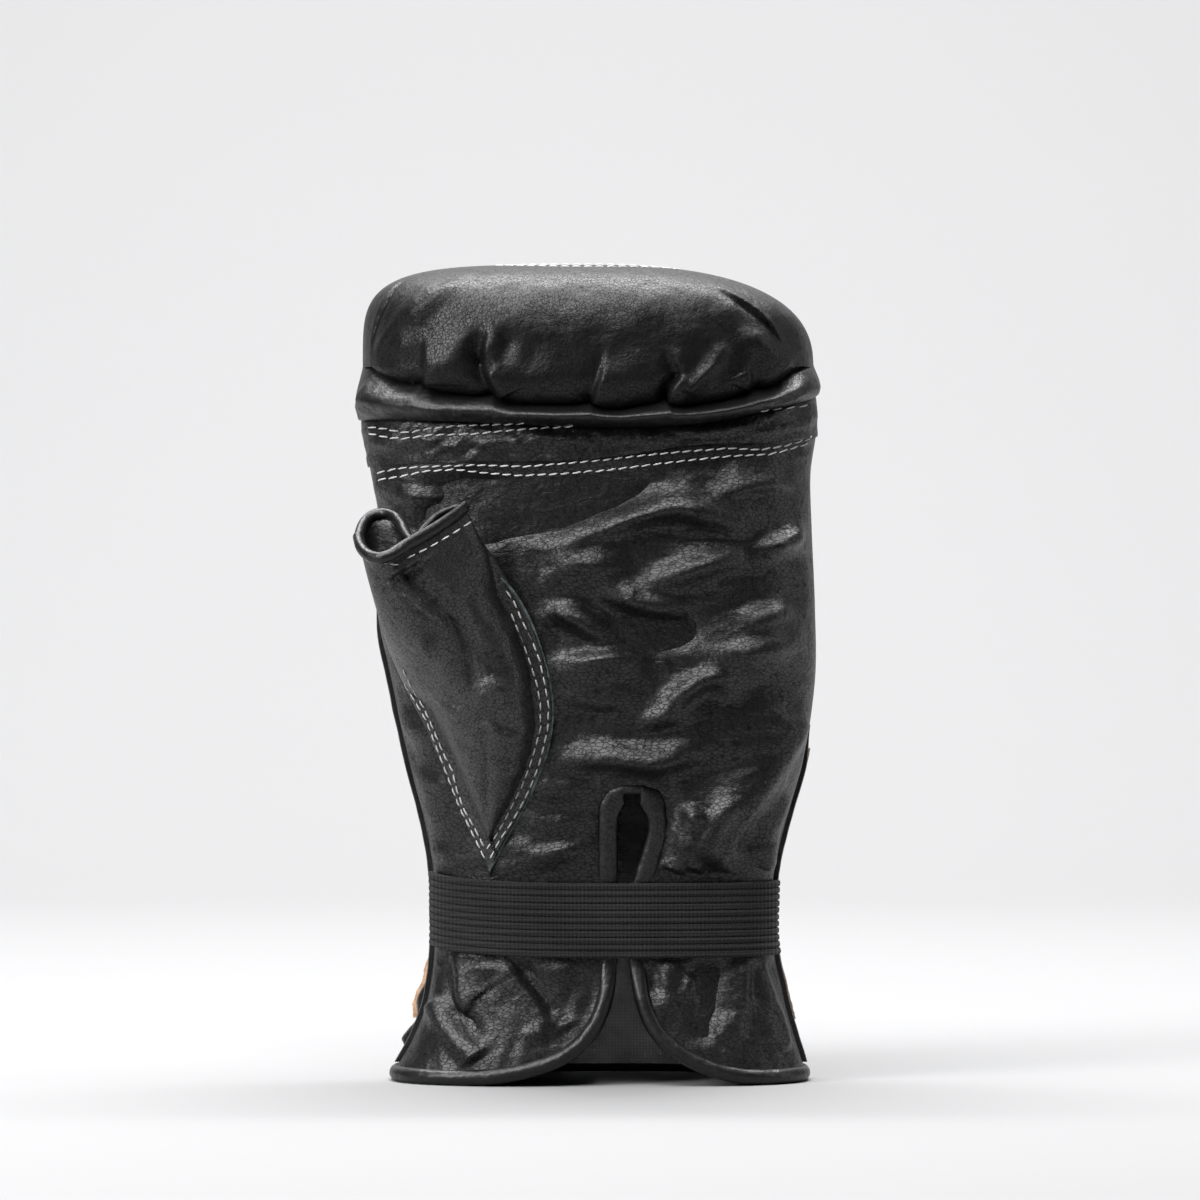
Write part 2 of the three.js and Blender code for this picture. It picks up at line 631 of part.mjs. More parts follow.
// How deep the pleats are at a place of the roll
function pleatsAt(x, up) {
  let depth = 0;
  for (const pleat of PLEATS) {
    const away = (x - pleat.x - pleat.lean * up) * (KNUCKLE_WIDTH / 2);
    const fade = 1 - THREE.MathUtils.smoothstep(up, pleat.reach * 0.5, pleat.reach);
    depth += pleat.depth * PLEAT_DEPTH * fade * Math.exp(-((away / (pleat.width * PLEAT_WIDTH)) ** 2));
  }
  return depth;
}

// The shell's outer face (inner 0) or inner face (inner 1). way runs from the roll's lip (-1)
// over the front corner line (0), the crest (1) and the back corner line (2) to the pad's end (3).
function shell(across, way, inner) {
  const x = spread(across);
  if (way > 2) {
    const down = way - 2;
    const z = THREE.MathUtils.lerp(CORNER_HEIGHT, PAD_BOTTOM + GAP / 2, down);
    const size = bodyAt(z);
    const thin = THREE.MathUtils.smoothstep(down, 0.35, 1);
    const pad = inner * THREE.MathUtils.lerp(KNUCKLE_PAD, PAD_END, thin);
    const sidePad = inner * THREE.MathUtils.lerp(SIDE_PAD, PAD_END / 2, thin);
    const depth = (size.back - pad) * arch(x, BACK_ROUNDNESS);
    return new THREE.Vector3(size.middle + (size.half - sidePad) * x, GAP / 2 + depth, z);
  }
  const size = bodyAt(CORNER_HEIGHT);
  const roundness = x < 0 ? LEFT_CORNER_ROUNDNESS : RIGHT_CORNER_ROUNDNESS;
  const crown = (CREST_HEIGHT - CORNER_HEIGHT - inner * CREST_PAD) * arch(x, roundness);
  const point = new THREE.Vector3(size.middle + (size.half - inner * SIDE_PAD) * x, 0, 0);
  if (way > 1) {
    const turn = ((2 - way) * Math.PI) / 2;
    const back = (size.back - inner * KNUCKLE_PAD) * arch(x, BACK_ROUNDNESS);
    point.y = GAP / 2 + back * Math.max(0, Math.cos(turn)) ** (2 / CREST_ROUNDNESS);
    point.z = CORNER_HEIGHT + crown * Math.sin(turn) ** (2 / CREST_ROUNDNESS);
    return point;
  }
  const front = (size.palm + ROLL_PROUD - inner * ROLL_WALL) * arch(x, PALM_ROUNDNESS);
  if (way >= 0) {
    const turn = (way * Math.PI) / 2;
    point.y = GAP / 2 - front * Math.max(0, Math.cos(turn)) ** (2 / CREST_ROUNDNESS);
    point.z = CORNER_HEIGHT + crown * Math.sin(turn) ** (2 / CREST_ROUNDNESS);
  } else {
    const turn = (-way * Math.PI) / 2;
    const tuck = (1 - inner) * ROLL_TUCK * arch(x, PALM_ROUNDNESS) * (1 - Math.cos(turn));
    point.y = GAP / 2 - front + tuck;
    point.z = CORNER_HEIGHT - lipDrop(across) * Math.sin(turn);
  }
  if (inner === 0) {
    const up = (way + 1) / 2;
    const inwards = new THREE.Vector3(0, -point.y, CORNER_HEIGHT - point.z).normalize();
    point.addScaledVector(inwards, pleatsAt(x, up) * arch(x, PALM_ROUNDNESS));
  }
  return point;
}

// The arched seam between the roll and the back pad, just in front of the crest in the middle
const CREST_SEAM_MIDDLE = 0.95;
const CREST_SEAM_SIDES = 1.5;
const crestSeam = (across) =>
  CREST_SEAM_MIDDLE + (CREST_SEAM_SIDES - CREST_SEAM_MIDDLE) * spread(across) ** 2;

function fingerRoll() {
  const surface = (inner) => (up, share) => {
    const across = 2 * share - 1;
    const point = shell(across, THREE.MathUtils.lerp(-1, crestSeam(across), up), inner);
    return point.add(new THREE.Vector3(0, -ROLL_STEP, ROLL_STEP));
  };
  return wall(8, COLUMNS, surface(0), surface(1));
}

function backPad() {
  const surface = (inner) => (down, share) => {
    const across = 2 * share - 1;
    const over = Math.min(1, 3 * down);
    const below = Math.max(0, 1.5 * down - 0.5);
    return shell(across, THREE.MathUtils.lerp(crestSeam(across), 2, over) + below, inner);
  };
  return wall(9, COLUMNS, surface(0), surface(1));
}

// Back of the cuff: gathered leather, a plain patch over it and the lining inside

const CUFF_ROW_COUNT = 7;
const CUFF_BOTTOM = LEATHER_BOTTOM;
const CUFF_TOP = PAD_BOTTOM - GAP / 2;

// Soft upright flutes below the patch and a puff beside the left welt
function cuffRelief(across, z) {
  const low = 1 - THREE.MathUtils.smoothstep(z, FLUTE_FULL_HEIGHT, FLUTE_FULL_HEIGHT + FLUTE_FADE);
  const hem = THREE.MathUtils.smoothstep(z - CUFF_BOTTOM, 0, 12);
  const inside = THREE.MathUtils.smoothstep(1 - Math.abs(across), SEAM_MARGIN, 0.18);
  const flutes = (CUFF_FLUTE_DEPTH / 2) * (1 + Math.sin(across * CUFF_FLUTES * Math.PI));
  const toLeft = Math.exp(-(((1 + across) / 0.17 - 1) ** 2));
  const level = Math.exp(-(((z - CUFF_PUFF_HEIGHT) / CUFF_PUFF_SPREAD) ** 2));
  return (flutes * low + CUFF_SIDE_PUFF * toLeft * level) * hem * inside;
}

// A sheet on the cuff's back. face: how far its outer face lies from the cuff's own. rowSpan and
// columnSpan: the part of the cuff's grid that it covers. relief: how it stands out.
function cuffSheet(face, thickness, rowSpan, columnSpan, columns, relief) {
  const surface = (depth) => (up, share) => {
    const column = THREE.MathUtils.lerp(columnSpan[0], columnSpan[1], share);
    const row = THREE.MathUtils.lerp(rowSpan[0], rowSpan[1], up);
    const across = (2 * column) / COLUMNS - 1;
    const z = THREE.MathUtils.lerp(CUFF_BOTTOM, CUFF_TOP, row / CUFF_ROW_COUNT);
    return offsetSkin(across, z, 1, face - depth + relief(across, z));
  };
  return wall(rowSpan[1] - rowSpan[0], columns, surface(0), surface(thickness));
}

function backCuff() {
  return cuffSheet(0, LEATHER, [0, CUFF_ROW_COUNT], [0, COLUMNS], COLUMNS, cuffRelief);
}

function wristPatch() {
  const rows = [Math.round((CUFF_ROW_COUNT * PATCH_BOTTOM) / CUFF_TOP), CUFF_ROW_COUNT];
  const span = [PATCH_MARGIN, COLUMNS - PATCH_MARGIN];
  const face = GAP + PATCH_THICKNESS;
  return cuffSheet(face, PATCH_THICKNESS, rows, span, span[1] - span[0], cuffRelief);
}

function cuffLining() {
  const span = [LINING_MARGIN, COLUMNS - LINING_MARGIN];
  const columns = (span[1] - span[0]) / 2;
  return cuffSheet(-LEATHER - GAP, LINING, [0, CUFF_ROW_COUNT], span, columns, () => 0);
}

// Bindings: rolled leather along the hem and flap edges, flat leather round the vent

// A ring of points round a middle point, in the plane of two directions
function ring(middle, outwards, sideways, halfThickness, halfWidth, sides) {
  const points = [];
  for (let k = 0; k < sides; k += 1) {
    const turn = ((k + 0.5) * 2 * Math.PI) / sides;
    points.push(middle.clone()
      .addScaledVector(outwards, halfThickness * Math.cos(turn))
      .addScaledVector(sideways, halfWidth * Math.sin(turn)));
  }
  return points;
}

// Rings along a line of places on the skin, each with its thickness share
function bindingRings(places, halfThickness, halfWidth, sides) {
  const middles = places.map((p) => offsetSkin(p.across, p.z, p.side, -LEATHER / 2));
  return places.map((place, i) => {
    const before = middles[Math.max(i - 1, 0)];
    const after = middles[Math.min(i + 1, places.length - 1)];
    const along = after.clone().sub(before).normalize();
    const outwards = skinNormal(place.across, place.z, place.side);
    outwards.addScaledVector(along, -outwards.dot(along)).normalize();
    const sideways = outwards.clone().cross(along).normalize();
    const thick = halfThickness * place.thick;
    return ring(middles[i], outwards, sideways, thick, halfWidth * place.wide, sides);
  });
}

function hemPiping() {
  const places = [];
  const flapPlace = (point) => {
    const high = THREE.MathUtils.smoothstep(point.y, 0.62 * ELASTIC_BOTTOM, ELASTIC_BOTTOM - 1);
    const thick = THREE.MathUtils.lerp(1, PIPING_UNDER_ELASTIC, high);
    return { across: acrossAt(point.x, point.y), z: point.y, side: -1, thick, wide: 1 };
  };
  const underElastic = new THREE.Vector2(0, ELASTIC_BOTTOM + ELASTIC_WIDTH / 2 - GAP);
  const hemPlace = (across, side) =>
    ({ across, z: PIPING_APOTHEM, side, thick: 1, wide: 1 });
  const [leftFoot, rightFoot] = [flapLine.left[0], flapLine.right[0]];
  const leftTop = flapLine.left[flapLine.left.length - 1];
  const rightTop = flapLine.right[flapLine.right.length - 1];
  places.push(flapPlace(underElastic.clone().setX(leftTop.x)));
  for (const point of [...flapLine.left].reverse()) {
    places.push(flapPlace(point));
  }
  const leftAcross = acrossAt(leftFoot.x, leftFoot.y);
  const rightAcross = acrossAt(rightFoot.x, rightFoot.y);
  const hemSteps = 4;
  for (let i = 1; i < hemSteps; i += 1) {
    places.push(hemPlace(THREE.MathUtils.lerp(leftAcross, -1, i / hemSteps), -1));
  }
  const backSteps = 24;
  for (let i = 0; i <= backSteps; i += 1) {
    places.push(hemPlace((2 * i) / backSteps - 1, 1));
  }
  for (let i = hemSteps - 1; i > 0; i -= 1) {
    places.push(hemPlace(THREE.MathUtils.lerp(rightAcross, 1, i / hemSteps), -1));
  }
  for (const point of flapLine.right) {
    places.push(flapPlace(point));
  }
  places.push(flapPlace(underElastic.clone().setX(rightTop.x)));
  return tube(bindingRings(places, PIPING_RADIUS, PIPING_RADIUS, 8));
}

function ventBinding() {
  const start = ELASTIC_BOTTOM + ELASTIC_WIDTH / 2 + GAP;
  const places = ventMiddle.map((point) => {
    const z = Math.max(point.y, start);
    const elasticTop = ELASTIC_BOTTOM + ELASTIC_WIDTH;
    const under = THREE.MathUtils.smoothstep(z, elasticTop - 1, elasticTop + VENT_BINDING_RAMP);
    const thick = THREE.MathUtils.lerp(PIPING_UNDER_ELASTIC * PIPING_RADIUS /
      VENT_BINDING_HALF_THICKNESS, 1, under);
    return { across: acrossAt(point.x, z), z, side: -1, thick: Math.min(thick, 1), wide: 1 };
  });
  return tube(bindingRings(places, VENT_BINDING_HALF_THICKNESS, VENT_BINDING_HALF_WIDTH, 6));
}

// Elastic: a ribbed band over the palm side, its ends beside the welts
function elasticBand() {
  const rest = PIPING_UNDER_ELASTIC * PIPING_RADIUS - LEATHER / 2 + ELASTIC_CLEARANCE;
  const steps = 2 * ELASTIC_RIBS;
  const surface = (depth) => (up, share) => {
    const across = THREE.MathUtils.lerp(-ELASTIC_LEFT_END, ELASTIC_RIGHT_END, share);
    const z = elasticBottom(across) + up * ELASTIC_WIDTH;
    const groove = depth === 0 && Math.round(up * steps) % 2 === 0 ? ELASTIC_RIB_DEPTH : 0;
    return offsetSkin(across, z, -1, rest + ELASTIC_THICKNESS - depth - groove);
  };
  return wall(steps, 16, surface(0), surface(ELASTIC_THICKNESS));
}

// Side welts: flat strips that cover the side seams
function sideWelt(side, top) {
  const bottom = LEATHER_BOTTOM + GAP;
  const steps = 16;
  const rings = [];
  for (let i = 0; i <= steps; i += 1) {
    const z = THREE.MathUtils.lerp(bottom, top, i / steps);
    const seam = plainSkin(side, z, 1);
    const near = seam.x + side * WELT_CLEARANCE;
    const far = near + side * WELT_THICKNESS;
    const half = WELT_HALF_WIDTH;
    rings.push([
      new THREE.Vector3(near, -half, z),
      new THREE.Vector3(far, -half * 0.6, z),
      new THREE.Vector3(far, half * 0.6, z),
      new THREE.Vector3(near, half, z),
    ]);
  }
  return tube(rings);
}

// Thumb sleeve: an open tube whose lower half is sewn flat onto the palm

const THUMB_UPWARDS = new THREE.Vector2(-Math.sin(THUMB_LEAN), Math.cos(THUMB_LEAN));
const THUMB_SIDEWAYS = new THREE.Vector2(Math.cos(THUMB_LEAN), Math.sin(THUMB_LEAN));
const THUMB_ROUNDNESS = 2.2;

// A ring round the sleeve at a share of its length, drawn in by an inset
function thumbRing(up, sides, inset) {
  const row = (column) => follow(THUMB_ROWS, "up", column, up);
  const left = -THUMB_LEFT_REACH * row("left");
  const right = THUMB_RIGHT_REACH * row("right");
  const middle = (left + right) / 2;
  const half = Math.max((right - left) / 2 - inset, 0.2);
  const free = row("free");
  const crease = THUMB_RIGHT_REACH * follow(THUMB_CREASE, "up", "across", up);
  const creaseDepth = THUMB_CREASE_DEPTH * THREE.MathUtils.smoothstep(up, 0.3, 0.9);
  const points = [];
  for (let k = 0; k < sides; k += 1) {
    const turn = (k * 2 * Math.PI) / sides;
    const x = Math.cos(turn);
    const w = middle + half * x;
    const flat = new THREE.Vector2(THUMB_POINT_X, THUMB_POINT_HEIGHT)
      .addScaledVector(THUMB_UPWARDS, up * THUMB_LENGTH)
      .addScaledVector(THUMB_SIDEWAYS, w);
    const across = THREE.MathUtils.clamp(acrossAt(flat.x, flat.y), -0.96, 0.96);
    const onPalm = plainSkin(across, flat.y, -1).y;
    const rest = THREE.MathUtils.lerp(onPalm, -THUMB_MOUTH_FRONT + THUMB_MOUTH_BULGE / 2, free);
    const curve = arch(x, THUMB_ROUNDNESS);
    let away = 0;
    if (Math.sin(turn) < 0) {
      const groove = creaseDepth * Math.exp(-(((w - crease) / THUMB_CREASE_WIDTH) ** 2));
      away = -Math.max(THUMB_FRONT_BULGE * row("front") - inset - groove, 0.3) * curve;
    } else {
      const deep = THREE.MathUtils.lerp(THUMB_ROOT_DEPTH, THUMB_MOUTH_BULGE, free) * row("back");
      const nip = THUMB_PINCH * Math.exp(-(((w - THUMB_PINCH_ACROSS) / THUMB_PINCH_WIDTH) ** 2));
      away = Math.max(deep - inset, 0.3) * curve * (1 - nip * free);
    }
    const tilt = THUMB_MOUTH_TILT * THREE.MathUtils.smoothstep(up, 0.55, 1);
    const lift = flat.addScaledVector(THUMB_UPWARDS, tilt * away);
    points.push(new THREE.Vector3(lift.x, rest + away, lift.y));
  }
  return points;
}

const THUMB_SIDES = 18;
const THUMB_STEPS = 12;

function thumbBlob(inset, from, to) {
  const rings = [];
  for (let i = 0; i <= THUMB_STEPS; i += 1) {
    rings.push(thumbRing(THREE.MathUtils.lerp(from, to, i / THUMB_STEPS), THUMB_SIDES, inset));
  }
  return rings;
}

// The sleeve's hollow, with its last ring lifted past the mouth
function thumbHollow() {
  const rings = thumbBlob(LEATHER, 0.06, 1);
  const last = rings[rings.length - 1];
  const lifted = last.map((p) => new THREE.Vector3(
    p.x + THUMB_UPWARDS.x * 6, p.y, p.z + THUMB_UPWARDS.y * 6));
  return solid(tube([...rings, lifted]));
}

// All the room behind the palm's outer face, which the sleeve stays out of
function palmRoom() {
  const outer = palmSurface(palmBottom, palmTop, palmRelief, -GAP);
  const inner = (up, share) => outer(up, share).setY(KNUCKLE_BACK_DEPTH);
  return solid(wall(PALM_ROW_COUNT, COLUMNS, outer, inner));
}

function thumbSleeve(hollow) {
  const blob = solid(tube(thumbBlob(0, 0, 1)));
  return surfaceOf(blob.subtract(hollow).subtract(palmRoom()));
}

// The rolled binding of the sleeve's mouth
function thumbBinding() {
  const path = thumbRing(1, 26, LEATHER / 2);
  const lift = THUMB_BINDING_RADIUS + GAP;
  const middle = new THREE.Vector3();
  for (const point of path) {
    middle.addScaledVector(point, 1 / path.length);
  }
  const rings = path.map((point, i) => {
    const before = path[(i + path.length - 1) % path.length];
    const after = path[(i + 1) % path.length];
    const along = after.clone().sub(before).normalize();
    const up = new THREE.Vector3(THUMB_UPWARDS.x, 0, THUMB_UPWARDS.y);
    const outwards = along.clone().cross(up).normalize();
    const upright = outwards.clone().cross(along).normalize();
    const centre = point.clone().addScaledVector(up, lift);
    return ring(centre, outwards, upright, THUMB_BINDING_RADIUS, THUMB_BINDING_RADIUS, 6);
  });
  return tube(rings, true);
}

// The finished parts

const BLACK_LEATHER = { color: 0x1b1b1d, roughness: 0.42, metalness: 0 };
const BLACK_ELASTIC = { color: 0x161618, roughness: 0.85, metalness: 0 };
const BLACK_KNIT = { color: 0x121214, roughness: 0.95, metalness: 0 };
const TAN_EDGE = { color: 0x2a211b, roughness: 0.55, metalness: 0 };

const glove = new THREE.Group();

function place(name, geometry, finish) {
  const mesh = new THREE.Mesh(geometry, new THREE.MeshStandardMaterial(finish));
  mesh.name = name;
  glove.add(mesh);
}

const hollow = thumbHollow();
const palm = surfaceOf(solid(palmWall()).subtract(ventCutter()).subtract(hollow));

place("palm_panel", palm, BLACK_LEATHER);
place("finger_band", fingerBand(), BLACK_LEATHER);
place("finger_collar", collar(), BLACK_LEATHER);
place("finger_roll", fingerRoll(), BLACK_LEATHER);
place("back_pad", backPad(), BLACK_LEATHER);
place("back_cuff", backCuff(), BLACK_LEATHER);
place("wrist_patch", wristPatch(), TAN_EDGE);
place("cuff_lining", cuffLining(), BLACK_KNIT);
place("hem_piping", hemPiping(), BLACK_LEATHER);
place("vent_binding", ventBinding(), BLACK_LEATHER);
place("elastic_band", elasticBand(), BLACK_ELASTIC);
place("left_welt", sideWelt(-1, LEFT_WELT_TOP), BLACK_LEATHER);
place("right_welt", sideWelt(1, RIGHT_WELT_TOP), BLACK_LEATHER);
place("thumb_sleeve", thumbSleeve(hollow), BLACK_LEATHER);
place("thumb_binding", thumbBinding(), BLACK_LEATHER);

// The origin is at the middle of the foot
const box = new THREE.Box3().setFromObject(glove);
const middle = box.getCenter(new THREE.Vector3());
glove.position.set(-middle.x, -middle.y, -box.min.z);

export default glove;
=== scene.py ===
"""A left-hand bag glove in black leather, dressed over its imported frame.

Lengths are millimetres in the glove's own drawing frame: the side seams' plane is y = 0, the palm
faces -Y and the floor is z = 0. They become metres in the row frame when a mesh is made.
"""

import math

import bpy
import numpy as np
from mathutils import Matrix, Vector
from mathutils.bvhtree import BVHTree


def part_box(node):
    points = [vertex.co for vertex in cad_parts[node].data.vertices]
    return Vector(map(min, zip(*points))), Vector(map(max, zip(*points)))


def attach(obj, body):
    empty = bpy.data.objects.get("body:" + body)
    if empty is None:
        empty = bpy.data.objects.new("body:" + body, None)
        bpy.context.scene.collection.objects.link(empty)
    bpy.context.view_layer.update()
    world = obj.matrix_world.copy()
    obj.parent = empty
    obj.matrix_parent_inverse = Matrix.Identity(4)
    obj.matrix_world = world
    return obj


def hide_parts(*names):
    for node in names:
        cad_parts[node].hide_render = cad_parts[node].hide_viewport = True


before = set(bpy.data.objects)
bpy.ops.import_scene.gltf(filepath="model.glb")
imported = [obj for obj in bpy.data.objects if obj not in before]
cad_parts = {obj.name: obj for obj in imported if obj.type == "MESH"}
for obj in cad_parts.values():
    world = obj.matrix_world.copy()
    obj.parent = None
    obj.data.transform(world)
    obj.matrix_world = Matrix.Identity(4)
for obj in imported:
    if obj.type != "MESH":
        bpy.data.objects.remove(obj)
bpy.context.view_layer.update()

# Sizes shared with the part's source
CREST_HEIGHT = 254.0
CORNER_HEIGHT = 222.0
WAIST_HEIGHT = 52.0
LEATHER = 1.8
GAP = 0.3
WAIST = {"left": 47.95, "right": 57.55, "palm": 28.0, "back": 29.0}
KNUCKLES = {"left": 70.8, "right": 71.6, "palm": 43.0, "back": 45.0}
HEM = {"left": 60.9, "right": 68.1, "palm": 33.0, "back": 37.0}
SIDES = ("left", "right", "palm", "back")
ROLL_PROUD = 9.0
ROLL_WALL = 10.0
ROLL_TUCK = 7.0
CREST_PAD = 17.0
KNUCKLE_PAD = 26.0
SIDE_PAD = 5.0
PAD_BOTTOM = 100.0
PAD_END = 5.0
BAND_SEAM_HEIGHT = 192.0
BAND_SEAM_RISE = 10.0
COLLAR_SEAM_HEIGHT = 203.5
COLLAR_SEAM_RISE = 12.0
VENT_X = 10.7
VENT_REACH = 8.0
VENT_TOP = 92.8
LEFT_FLAP_REACH = 50.0
RIGHT_FLAP_REACH = 40.0
PIPING_RADIUS = 2.6
PIPING_FOOT = 2.4
ELASTIC_BOTTOM = 39.6
ELASTIC_LEFT_LIFT = 3.6
ELASTIC_WIDTH = 23.0
ELASTIC_RIBS = 11
ELASTIC_FACE = 2.3
PALM_ROUNDNESS = 2.6
BACK_ROUNDNESS = 2.3
LEFT_CORNER_ROUNDNESS = 4.3
RIGHT_CORNER_ROUNDNESS = 2.5
CREST_ROUNDNESS = 3.4
THUMB_POINT = np.array([-30.0, 64.0])
THUMB_LEAN = math.radians(14)
THUMB_LENGTH = 107.5
THUMB_LEFT_REACH = 16.0
THUMB_RIGHT_REACH = 31.5

# Columns: share of the height from the waist to the corners, then left, right, palm and back as
# shares from the waist's size to the knuckles'
HAND_ROWS = np.array([
    (0.0, 0.0, 0.0, 0.0, 0.0),
    (0.08, 0.02, 0.06, 0.03, 0.04),
    (0.165, 0.13, 0.3, 0.2, 0.2),
    (0.28, 0.35, 0.69, 0.42, 0.45),
    (0.43, 0.59, 0.96, 0.68, 0.72),
    (0.56, 0.78, 0.96, 0.86, 0.9),
    (0.72, 0.76, 0.88, 0.97, 1.0),
    (0.81, 0.87, 0.86, 1.0, 1.02),
    (0.9, 1.0, 1.0, 1.0, 1.0),
    (1.0, 0.98, 0.92, 1.0, 0.94),
])

# The same columns from the waist down to the floor, as shares from the waist's size to the hem's
CUFF_ROWS = np.array([
    (0.0, 0.0, 0.0, 0.0, 0.0),
    (0.14, 0.0, 0.02, 0.0, 0.03),
    (0.29, 0.03, 0.12, 0.06, 0.12),
    (0.42, 0.1, 0.27, 0.22, 0.27),
    (0.56, 0.22, 0.42, 0.42, 0.47),
    (0.71, 0.45, 0.63, 0.66, 0.7),
    (0.81, 0.65, 0.78, 0.82, 0.85),
    (0.93, 0.93, 0.96, 0.96, 0.97),
    (1.0, 1.0, 1.0, 1.0, 1.0),
])

# Seams across the palm. Columns: across from -1 to 1, share of the seam's rise
BAND_SEAM = np.array([(-1.0, 0.0), (-0.5, 0.07), (0.0, 0.18), (0.3, 0.6), (0.6, 0.72), (1.0, 1.0)])
COLLAR_SEAM = np.array([
    (-1.0, 0.27), (-0.4, 0.15), (0.0, 0.0), (0.3, 0.08), (0.6, 0.5), (1.0, 1.0),
])

# Edges of the vent and of the flaps below it. Columns: share of the height, then left and right
# as shares of the reach
VENT_ROWS = np.array([
    (0.56, -0.51, 0.56),
    (0.69, -0.55, 0.84),
    (0.78, -0.56, 1.16),
    (0.86, -0.55, 1.38),
    (0.935, -0.44, 1.21),
    (0.985, -0.05, 0.81),
    (1.0, 0.38, 0.38),
])
FLAP_ROWS = np.array([
    (0.06, 1.0, 1.0),
    (0.075, 0.74, 0.82),
    (0.13, 0.5, 0.6),
    (0.23, 0.29, 0.38),
    (0.42, 0.12, 0.16),
    (0.68, 0.026, 0.045),
    (1.0, 0.0, 0.0),
])

# The thumb sleeve's sections. Columns: share of its length, left and right as shares of the
# reach, and the front bulge as a share
THUMB_ROWS = np.array([
    (0.0, 0.0, 0.0, 0.03),
    (0.05, 0.05, 0.09, 0.1),
    (0.12, 0.16, 0.3, 0.26),
    (0.2, 0.24, 0.56, 0.46),
    (0.28, 0.32, 0.77, 0.64),
    (0.38, 0.42, 0.95, 0.84),
    (0.5, 0.58, 1.03, 0.98),
    (0.6, 0.73, 1.03, 1.0),
    (0.7, 0.82, 1.0, 0.95),
    (0.8, 0.84, 0.9, 0.82),
    (0.88, 0.88, 0.77, 0.68),
    (0.95, 0.93, 0.71, 0.57),
    (1.0, 0.94, 0.67, 0.53),
])


# Plain numbers along tables and curves

def follow(rows, column, at):
    """A value read from a table by a smooth curve through its rows."""
    x, y = rows[:, 0], rows[:, column]
    at = np.clip(at, x[0], x[-1])
    i = np.clip(np.searchsorted(x, at) - 1, 0, len(x) - 2)
    before = np.maximum(np.arange(len(x)) - 1, 0)
    after = np.minimum(np.arange(len(x)) + 1, len(x) - 1)
    slope = (y[after] - y[before]) / (x[after] - x[before])
    span = x[i + 1] - x[i]
    s = (at - x[i]) / span
    return (
        (2 * s**3 - 3 * s**2 + 1) * y[i]
        + (s**3 - 2 * s**2 + s) * span * slope[i]
        + (3 * s**2 - 2 * s**3) * y[i + 1]
        + (s**3 - s**2) * span * slope[i + 1]
    )


def smooth(x, low, high):
    """0 below low, 1 above high, and a soft step between them."""
    s = np.clip((x - low) / (high - low), 0, 1)
    return s * s * (3 - 2 * s)


def mix(a, b, share):
    return a + (b - a) * share


def off_sides(across, low, high):
    """0 at the side seams and 1 away from them."""
    return smooth(1 - np.abs(across), low, high)


def arch(x, roundness):
    """Height of a rounded arch over a base from -1 to 1."""
    return np.maximum(0, 1 - np.abs(x) ** roundness) ** (1 / roundness)


def noise(u, v, seed):
    """Smooth noise on a plane, about -0.7 to 0.7 and the same on each run."""
    iu, iv = np.floor(u), np.floor(v)
    fu, fv = u - iu, v - iv

    def corner(du, dv):
        h = np.sin((iu + du) * 127.1 + (iv + dv) * 311.7 + seed * 74.7) * 43758.5453
        turn = (h - np.floor(h)) * 2 * np.pi
        return np.cos(turn) * (fu - du) + np.sin(turn) * (fv - dv)

    su = fu**3 * (fu * (fu * 6 - 15) + 10)
    sv = fv**3 * (fv * (fv * 6 - 15) + 10)
    return mix(mix(corner(0, 0), corner(1, 0), su), mix(corner(0, 1), corner(1, 1), su), sv)


def billows(x, z, length, spacing, seed, slant=0.0):
    """Soft waves from -0.7 to 0.7, longer than tall, that wander and cross a little."""
    wander = 0.7 * noise(x / length, z / length + seed, seed + 7)
    total = 0 * x
    for turn, part in ((slant + 0.12, 0.6), (slant - 0.14, 0.5)):
        u = x * math.cos(turn) + z * math.sin(turn)
        v = z * math.cos(turn) - x * math.sin(turn)
        total = total + part * noise(u / length + wander, v / spacing + 1.5 * wander, seed + part)
    return total


def wrinkles(x, z, length, spacing, seed, slant=0.0):
    """Creased leather from 0 to 1, its creases about as long as length and spaced by spacing."""
    u = x * math.cos(slant) + z * math.sin(slant)
    v = z * math.cos(slant) - x * math.sin(slant)
    bend = 0.6 * noise(x / (2.2 * length), z / (2.2 * length), seed + 5)
    first = 1 - 2 * np.abs(noise(u / length + bend, v / spacing + bend * 2, seed))
    second = 1 - 2 * np.abs(noise(u / length * 2.1 - bend, v / spacing * 2.1, seed + 1))
    return np.clip(0.65 * first**2 + 0.35 * second**2, 0, 1)


def rounded(points, times=2):
    """A line of points with its corners cut, the ends kept."""
    points = np.array(points, float)
    for _ in range(times):
        near, far = mix(points[:-1], points[1:], 0.25), mix(points[:-1], points[1:], 0.75)
        inner = np.stack([near, far], axis=1).reshape(-1, 2)
        points = np.concatenate([points[:1], inner[1:-1], points[-1:]])
    return points


def beside(points, x, z):
    """Signed distance from a line of points, left of it counted positive, and the share along it."""
    points = np.array(points, float)
    best = np.full(np.shape(x), 1e9)
    side = np.zeros(np.shape(x))
    share = np.zeros(np.shape(x))
    steps = np.hypot(*(points[1:] - points[:-1]).T)
    start = np.concatenate([[0], np.cumsum(steps)]) / steps.sum()
    for k in range(len(points) - 1):
        a, d = points[k], points[k + 1] - points[k]
        t = np.clip(((x - a[0]) * d[0] + (z - a[1]) * d[1]) / (d @ d), 0, 1)
        ex, ez = x - a[0] - t * d[0], z - a[1] - t * d[1]
        away = np.hypot(ex, ez)
        nearer = away < best
        best = np.where(nearer, away, best)
        side = np.where(nearer, np.sign(d[0] * ez - d[1] * ex), side)
        share = np.where(nearer, mix(start[k], start[k + 1], t), share)
    return best * side, share


FOLD_ENDS = (0.42, 0.42)


